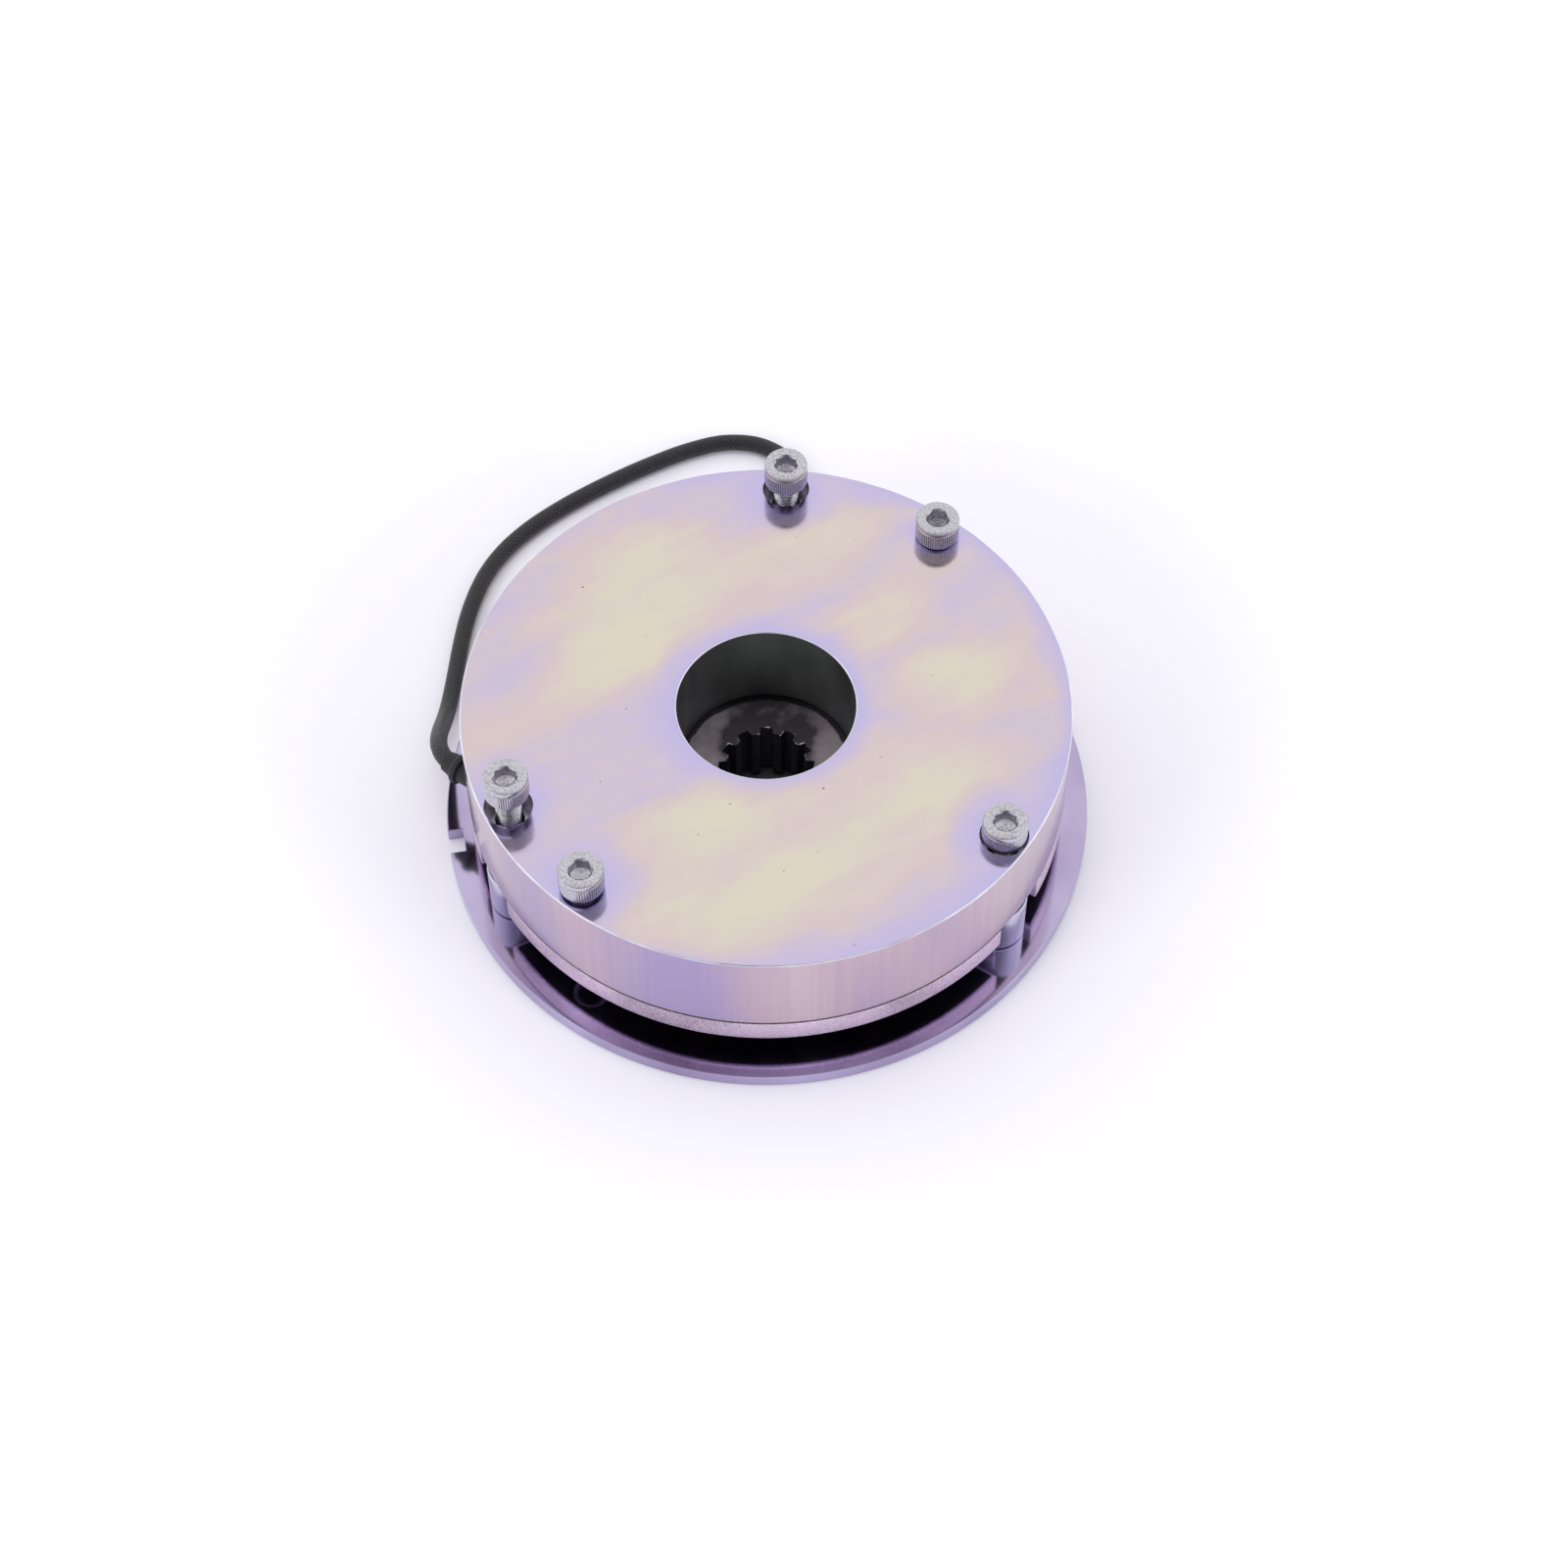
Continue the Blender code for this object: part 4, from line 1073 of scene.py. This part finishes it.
def toothed_outline(root, tip, steps=4):
    """The hub's twelve teeth, or its spline's, whose tips and roots follow their circles."""
    pitch = 2 * pi / SPLINE_TEETH
    points = []
    for tooth in range(SPLINE_TEETH):
        for radius, middle, share in ((tip, 0.0, TIP_SHARE), (root, 0.5, ROOT_SHARE)):
            for step in range(steps + 1):
                angle = pi / 2 + pitch * (tooth + middle + share * (step / steps - 0.5))
                points.append((radius * cos(angle), radius * sin(angle)))
    return points


class BRAKE_OT_splined_hub(bpy.types.Operator):
    """Hub with driving teeth outside and the shaft's spline inside"""

    bl_idname = "brake.splined_hub"
    bl_label = "Splined hub"

    BOSS_HEIGHT = 5.5 * MM
    SPLINE_MINOR = 7.75 * MM
    SPLINE_MAJOR = 9.2 * MM
    BURR = 0.2 * MM
    RIM_ROUND = 0.8 * MM

    def execute(self, context):
        hub = extent("splined_hub")
        low, high = hub.low.z, hub.high.z
        foot = high - self.BOSS_HEIGHT
        spline = toothed_outline(self.SPLINE_MINOR, self.SPLINE_MAJOR)
        teeth = toothed_outline(TOOTH_ROOT, TOOTH_TIP)
        boss = [Vector(point).normalized() * hub.outer for point in spline]
        levels = ((spline, low), (teeth, low), (teeth, foot), (boss, foot), (boss, high), (spline, high))
        bm = bmesh.new()
        first, last = add_loft(bm, [[(x, y, height) for x, y in outline] for outline, height in levels])
        bmesh.ops.bridge_loops(bm, edges=first + last)
        finishes = (sintered_hub(context.scene.brake_finishes), blackened_spline(), painted_glint_edge())
        piece = make_piece("sintered_splined_hub", bm, *finishes)
        inside = (TOOTH_ROOT + self.SPLINE_MAJOR) / 2
        paint(piece, lambda normal, centre: int(abs(normal.z) < 0.5 and centre.xy.length < inside))

        def at_spline(edge):
            return lies_flat(edge) and max(vert.co.xy.length for vert in edge.verts) < inside

        def at_rim(edge):
            return lies_flat(edge) and min(vert.co.z for vert in edge.verts) > high - LEVEL

        # The spline's top edges take bright spots of painted highlight.
        break_edges(piece, self.BURR, 2, at_spline, segments=2)
        # The rim's rounding takes the black spline finish, as more of the same painted shade.
        break_edges(piece, self.RIM_ROUND, 1, at_rim, segments=3)
        settle(piece, "hub", "steel_grey", "splined_hub")
        return {"FINISHED"}


class BRAKE_OT_rotor(bpy.types.Operator):
    """Rotor disc that slides on the hub's teeth, and its two friction linings"""

    bl_idname = "brake.rotor"
    bl_label = "Rotor"

    LININGS = ("friction_lining_lower", "friction_lining_upper")
    STEPS = 160
    DISC_SOFT = 0.25 * MM
    LINING_SOFT = 0.15 * MM

    def execute(self, context):
        disc = extent("rotor_disc")
        lower, upper = (extent(node) for node in self.LININGS)
        gap = context.scene.brake_sizes.fit_gap
        bottom, top = lower.high.z + gap, upper.low.z - gap
        collar = extent("splined_hub").outer + gap
        soft = self.DISC_SOFT
        outline = rounded([
            (0.0, disc.low.z, 0.0), (collar, disc.low.z, soft), (collar, bottom, soft),
            (disc.outer, bottom, soft), (disc.outer, top, soft), (collar, top, soft),
            (collar, disc.high.z, soft), (0.0, disc.high.z, 0.0),
        ], steps=3)
        piece = turned_piece("cast_rotor_disc", outline, self.STEPS, cast_aluminium())
        teeth = bmesh.new()
        around = toothed_outline(TOOTH_ROOT + gap, TOOTH_TIP + gap)
        add_prism(teeth, around, disc.low.z - CUTTER_REACH, disc.high.z + CUTTER_REACH)
        combine(piece, teeth)
        settle(piece, "rotor", "aluminium", "rotor_disc")
        compound = friction_compound()
        for node, ring in zip(self.LININGS, (lower, upper)):
            outline = ring_outline(ring, self.LINING_SOFT)
            lining = turned_piece(f"pressed_{node}", outline, self.STEPS, compound)
            settle(lining, "rotor", "friction_lining", node)
        return {"FINISHED"}


class BRAKE_OT_armature_plate(bpy.types.Operator):
    """Armature plate with notches round the sleeves and two tapped holes"""

    bl_idname = "brake.armature_plate"
    bl_label = "Armature plate"

    NOTCH_CLEARANCE = 0.8 * MM
    NOTCH_STEPS = 24
    BLANKED_ROUND = 0.7 * MM  # the edge where the punch went in
    EDGE_ROUND = 0.15 * MM

    def execute(self, context):
        plate = extent("armature_plate", about=(0.0, 0.0))
        low, high = plate.low.z, plate.high.z
        finishes = (tumbled_armature(context.scene.brake_finishes), ground_face())
        piece = turned_piece("blanked_armature_plate", ring_outline(plate), RIM_STEPS, *finishes)
        cuts = bmesh.new()
        for node in SLEEVES:
            sleeve = extent(node)
            radius = sleeve.outer + self.NOTCH_CLEARANCE
            reach = plate.outer - sleeve.foot.length + CUTTER_REACH
            arc = [pi / 2 + pi * step / self.NOTCH_STEPS for step in range(self.NOTCH_STEPS + 1)]
            notch = [(reach, radius), *((radius * cos(a), radius * sin(a)) for a in arc), (reach, -radius)]
            outwards = Matrix.Rotation(atan2(sleeve.foot.y, sleeve.foot.x), 4, "Z")
            place = Matrix.Translation(sleeve.foot) @ outwards
            add_prism(cuts, notch, low - CUTTER_REACH, high + CUTTER_REACH, place)
        drill(cuts, RELEASE_SCREWS, [(extent(SLEEVES[0]).inner, low, high)])
        combine(piece, cuts)
        clear_slivers(piece)
        paint(piece, lambda normal, centre: int(normal.z < -0.5))

        def underneath(edge):
            return lies_flat(edge) and edge.verts[0].co.z < low + LEVEL

        break_edges(piece, self.BLANKED_ROUND, 0, underneath)
        break_edges(piece, self.EDGE_ROUND, 0, segments=2)
        settle(piece, "armature", "zinc_pink", "armature_plate")
        return {"FINISHED"}


class BRAKE_OT_magnet_body(bpy.types.Operator):
    """Magnet body with its bore, coil groove, screw holes, spring pockets and lead outlet"""

    bl_idname = "brake.magnet_body"
    bl_label = "Magnet body"

    COUNTERBORE_DEPTH = 4.3 * MM
    HEAD_CLEARANCE = 0.35 * MM
    POCKET_STEPS = 32
    OUTLET_ENDS = (-12.0 * MM, 6.0 * MM)  # from the lead's start
    OUTLET_STEPS = 40
    UNDER_ROUND = 0.15 * MM
    FACE, SIDE, BORED, EDGE, HOLE = range(5)

    def execute(self, context):
        sizes = context.scene.brake_sizes
        finishes = context.scene.brake_finishes
        body = extent("magnet_body", about=(0.0, 0.0))
        coil = extent("coil_bobbin")
        low, high = body.low.z, body.high.z
        roof = coil.high.z + sizes.fit_gap
        inside, outside = coil.inner - sizes.fit_gap, coil.outer + sizes.fit_gap
        outline = [
            (body.inner, low), (inside, low), (inside, roof), (outside, roof), (outside, low),
            (body.outer, low), (body.outer, high), (body.inner, high),
        ]
        piece = turned_piece(
            "turned_magnet_body", outline, RIM_STEPS, passivated_face(finishes), passivated_side(finishes),
            oiled_steel(finishes), painted_highlight_edge(), plated_hole(finishes),
        )

        def finish_of(normal, centre):
            if normal.z > 0.5 and centre.z > high - MM:
                return self.FACE
            return self.SIDE if abs(normal.z) < 0.5 and centre.xy.length > body.outer - MM else self.BORED

        paint(piece, finish_of)
        combine(piece, self.holes(sizes, low, high), finish=self.HOLE)
        clear_slivers(piece)

        def at_rim_or_bore(edge):
            radius = min(vert.co.xy.length for vert in edge.verts)
            return lies_flat(edge) and (radius > body.outer - LEVEL or radius < body.inner + LEVEL)

        def on_top(edge):
            return edge.verts[0].co.z > high - LEVEL

        # The top edges of rim and bore are rounded and take the painted highlight finish.
        break_edges(piece, sizes.rim_round, self.EDGE, lambda edge: at_rim_or_bore(edge) and on_top(edge))
        # The lower edges of rim and bore take the dark bored finish, as painted shade along the gaps under
        # the body.
        under = self.UNDER_ROUND
        break_edges(piece, under, self.BORED, lambda edge: at_rim_or_bore(edge) and not on_top(edge), 2)
        settle(piece, "stator", "zinc_iridescent", "magnet_body")
        return {"FINISHED"}

    def holes(self, sizes, low, high):
        """Cutters for the counterbores, the screws' holes, the spring pockets and the lead's outlet."""
        cuts = bmesh.new()
        shank = extent(SLEEVES[0]).inner
        head = extent(MOUNTING_SCREWS[0]).outer + self.HEAD_CLEARANCE
        seat = high - self.COUNTERBORE_DEPTH
        drill(cuts, MOUNTING_SCREWS, [(shank, low, seat - CUTTER_REACH), (head, seat + CUTTER_REACH, high)])
        drill(cuts, RELEASE_SCREWS, [(shank, low, high)])
        spring = extent(SPRINGS[0])
        pocket = spring.high.z + sizes.fit_gap - CUTTER_REACH
        drill(cuts, SPRINGS, [(spring.outer + sizes.fit_gap, low, pocket)], self.POCKET_STEPS)
        plug = extent("lead_grommet")
        wide = (plug.high.z - plug.low.z) / 2 + sizes.fit_gap
        low, high = self.OUTLET_ENDS
        outlet = [(0.0, low), (wide, low), (wide, high), (0.0, high)]
        add_lathe(cuts, outlet, self.OUTLET_STEPS, outlet_axis(Vector(LEAD_ROUTE[0])))
        return cuts


class BRAKE_OT_coil(bpy.types.Operator):
    """Finishes of the bobbin, the winding and the potting in the magnet body's groove"""

    bl_idname = "brake.coil"
    bl_label = "Coil"

    def execute(self, context):
        finishes = {
            "coil_bobbin": moulded_nylon(),
            "coil_winding": enamelled_copper(),
            "coil_potting": cast_epoxy(),
        }
        for node, finish in finishes.items():
            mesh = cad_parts[node].data
            mesh.materials.clear()
            mesh.materials.append(finish)
        return {"FINISHED"}


class BRAKE_OT_pressure_springs(bpy.types.Operator):
    """Six springs in the magnet body's pockets"""

    bl_idname = "brake.pressure_springs"
    bl_label = "Pressure springs"

    POINTS_PER_TURN = 24
    WIRE_SIDES = 12

    def execute(self, context):
        sizes = context.scene.brake_sizes
        wire = sizes.wire_radius
        finish = drawn_wire()
        count = sizes.spring_turns * self.POINTS_PER_TURN
        for node in SPRINGS:
            spring = extent(node)
            rise = spring.high.z - spring.low.z - 2 * wire
            path = []
            for step in range(count + 1):
                angle = 2 * pi * step / self.POINTS_PER_TURN
                radial = Vector((cos(angle), sin(angle), 0.0)) * (spring.outer - wire)
                height = spring.low.z + wire + rise * step / count
                path.append(radial + Vector((spring.centre.x, spring.centre.y, height)))
            wound = tube_piece(f"wound_{node}", path, wire, self.WIRE_SIDES, finish)
            settle(wound, "stator", "spring_steel", node)
            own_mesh(wound)
        return {"FINISHED"}


class BRAKE_OT_screws(bpy.types.Operator):
    """Three mounting and two release screws with knurled socket heads and rolled threads"""

    bl_idname = "brake.screws"
    bl_label = "Screws"

    SOCKET_CHAMFER = 0.36 * MM
    SOCKET_DRILL = 0.97  # of the hexagon's inscribed circle
    DRILL_POINT = radians(30.0)
    CROWN_WIDTH = 0.42 * MM  # the head's upper edge is broken in two facets
    CROWN_CORNER = 0.14 * MM
    BAND_INSET = 0.02 * MM
    GROOVE_INSET = 0.16 * MM
    GROOVE_WIDTH = 0.12 * MM  # as wide as each of its slopes
    FOOT_HEIGHT = 0.3 * MM
    FOOT_INSET = 0.35 * MM

    SHANK_RADIUS = 2.5 * MM
    TIP_CHAMFER = 0.5 * MM
    THREAD_STEPS = 40
    ROWS_PER_TURN = 8
    ROOT_FLAT = 0.15  # the thread's root and flank, as shares of half its pitch
    FLANK = 0.7

    def add_head(self, bm, sizes, radius):
        """A hexagon socket, a plain chamfered band, a groove and straight ridges. Open underneath."""
        top, ridged, flat = sizes.head_height, sizes.knurl_height, sizes.hex_flats / 2
        floor, chamfered = top - sizes.hex_depth, top - self.SOCKET_CHAMFER
        turns = [pi * step / sizes.knurl_ridges for step in range(2 * sizes.knurl_ridges)]

        def loop(reach, height):
            return [(reach * cos(turn), reach * sin(turn), height) for turn in turns]

        def hexagon(height):
            reaches = [flat / cos(turn % (pi / 3) - pi / 6) for turn in turns]
            return [
                (reach * cos(turn), reach * sin(turn), height(reach)) for reach, turn in zip(reaches, turns)
            ]

        def ridges(height):
            around = zip(loop(radius, height), loop(radius - sizes.knurl_depth, height))
            return [pair[step % 2] for step, pair in enumerate(around)]

        crown, corner, slope = self.CROWN_WIDTH, self.CROWN_CORNER, self.GROOVE_WIDTH
        band, groove = radius - self.BAND_INSET, radius - self.GROOVE_INSET
        socket, _ = add_loft(bm, [
            loop(self.SOCKET_DRILL * flat, floor), hexagon(lambda reach: floor),
            hexagon(lambda reach: chamfered + reach - flat), loop(flat + self.SOCKET_CHAMFER, top),
            loop(radius - crown, top), loop(radius - corner, top - corner), loop(band, top - crown),
            loop(band, ridged + 3 * slope), loop(groove, ridged + 2 * slope), loop(groove, ridged + slope),
            ridges(ridged), ridges(self.FOOT_HEIGHT), loop(radius - self.FOOT_INSET, 0.0),
        ])
        drilled = bmesh.ops.edgeloop_fill(bm, edges=socket)["faces"]
        point = bmesh.ops.poke(bm, faces=drilled)["verts"]
        bmesh.ops.translate(bm, verts=point, vec=(0.0, 0.0, -flat * tan(self.DRILL_POINT)))

    def add_shank(self, bm, sizes, long):
        """A rolled thread with a chamfered tip, open at the top."""
        radius, pitch = self.SHANK_RADIUS, sizes.thread_pitch
        rows = ceil(long / pitch * self.ROWS_PER_TURN)
        before = set(bm.verts)
        outline = [(0.0, -long), *((radius, long * (row / rows - 1.0)) for row in range(rows + 1))]
        add_lathe(bm, outline, self.THREAD_STEPS)
        for vert in set(bm.verts) - before:
            if vert.co.xy.length < radius / 2:
                continue
            turn = (vert.co.z / pitch - atan2(vert.co.y, vert.co.x) / (2 * pi)) % 1.0
            crest = min(1.0, max(0.0, (abs(2.0 * turn - 1.0) - self.ROOT_FLAT) / self.FLANK))
            above_tip = vert.co.z + long
            inset = max(sizes.thread_depth * (1.0 - crest), self.TIP_CHAMFER - above_tip)
            vert.co.xy *= 1.0 - inset / radius

    def execute(self, context):
        sizes = context.scene.brake_sizes
        zinc = screw_zinc(context.scene.brake_finishes)
        for node in (*MOUNTING_SCREWS, *RELEASE_SCREWS):
            screw = extent(node)
            seat = screw.high.z - sizes.head_height
            bm = bmesh.new()
            self.add_head(bm, sizes, screw.outer)
            self.add_shank(bm, sizes, seat - screw.low.z)
            underside = [edge for edge in bm.edges if edge.is_boundary]
            bmesh.ops.triangle_fill(bm, use_beauty=True, edges=underside)
            outwards = Matrix.Rotation(atan2(screw.centre.y, screw.centre.x), 4, "Z")
            place = Matrix.Translation((screw.centre.x, screw.centre.y, seat)) @ outwards
            bmesh.ops.transform(bm, matrix=place, verts=bm.verts)
            piece = make_piece(f"threaded_{node}", bm, zinc)
            settle(piece, node.replace("screw", "bolt"), "zinc_bright", node)
        return {"FINISHED"}


OPERATORS = (
    BRAKE_OT_stage,
    BRAKE_OT_lead,
    BRAKE_OT_flange_plate,
    BRAKE_OT_spacer_sleeves,
    BRAKE_OT_splined_hub,
    BRAKE_OT_rotor,
    BRAKE_OT_armature_plate,
    BRAKE_OT_magnet_body,
    BRAKE_OT_coil,
    BRAKE_OT_pressure_springs,
    BRAKE_OT_screws,
)


class BRAKE_PT_panel(bpy.types.Panel):
    """Buttons for the pieces of the brake"""

    bl_label = "Disc Brake"
    bl_idname = "BRAKE_PT_panel"
    bl_space_type = "VIEW_3D"
    bl_region_type = "UI"
    bl_category = "Disc Brake"

    def draw(self, context):
        for operator in OPERATORS:
            self.layout.operator(operator.bl_idname)


CLASSES = (BrakeSizes, BrakeFinishes, *OPERATORS, BRAKE_PT_panel)


def register():
    for cls in CLASSES:
        bpy.utils.register_class(cls)
    bpy.types.Scene.brake_sizes = bpy.props.PointerProperty(type=BrakeSizes)
    bpy.types.Scene.brake_finishes = bpy.props.PointerProperty(type=BrakeFinishes)


def unregister():
    del bpy.types.Scene.brake_finishes
    del bpy.types.Scene.brake_sizes
    for cls in reversed(CLASSES):
        bpy.utils.unregister_class(cls)


def main():
    register()
    for operator in OPERATORS:
        group, name = operator.bl_idname.split(".")
        getattr(getattr(bpy.ops, group), name)()


if __name__ == "__main__":
    main()
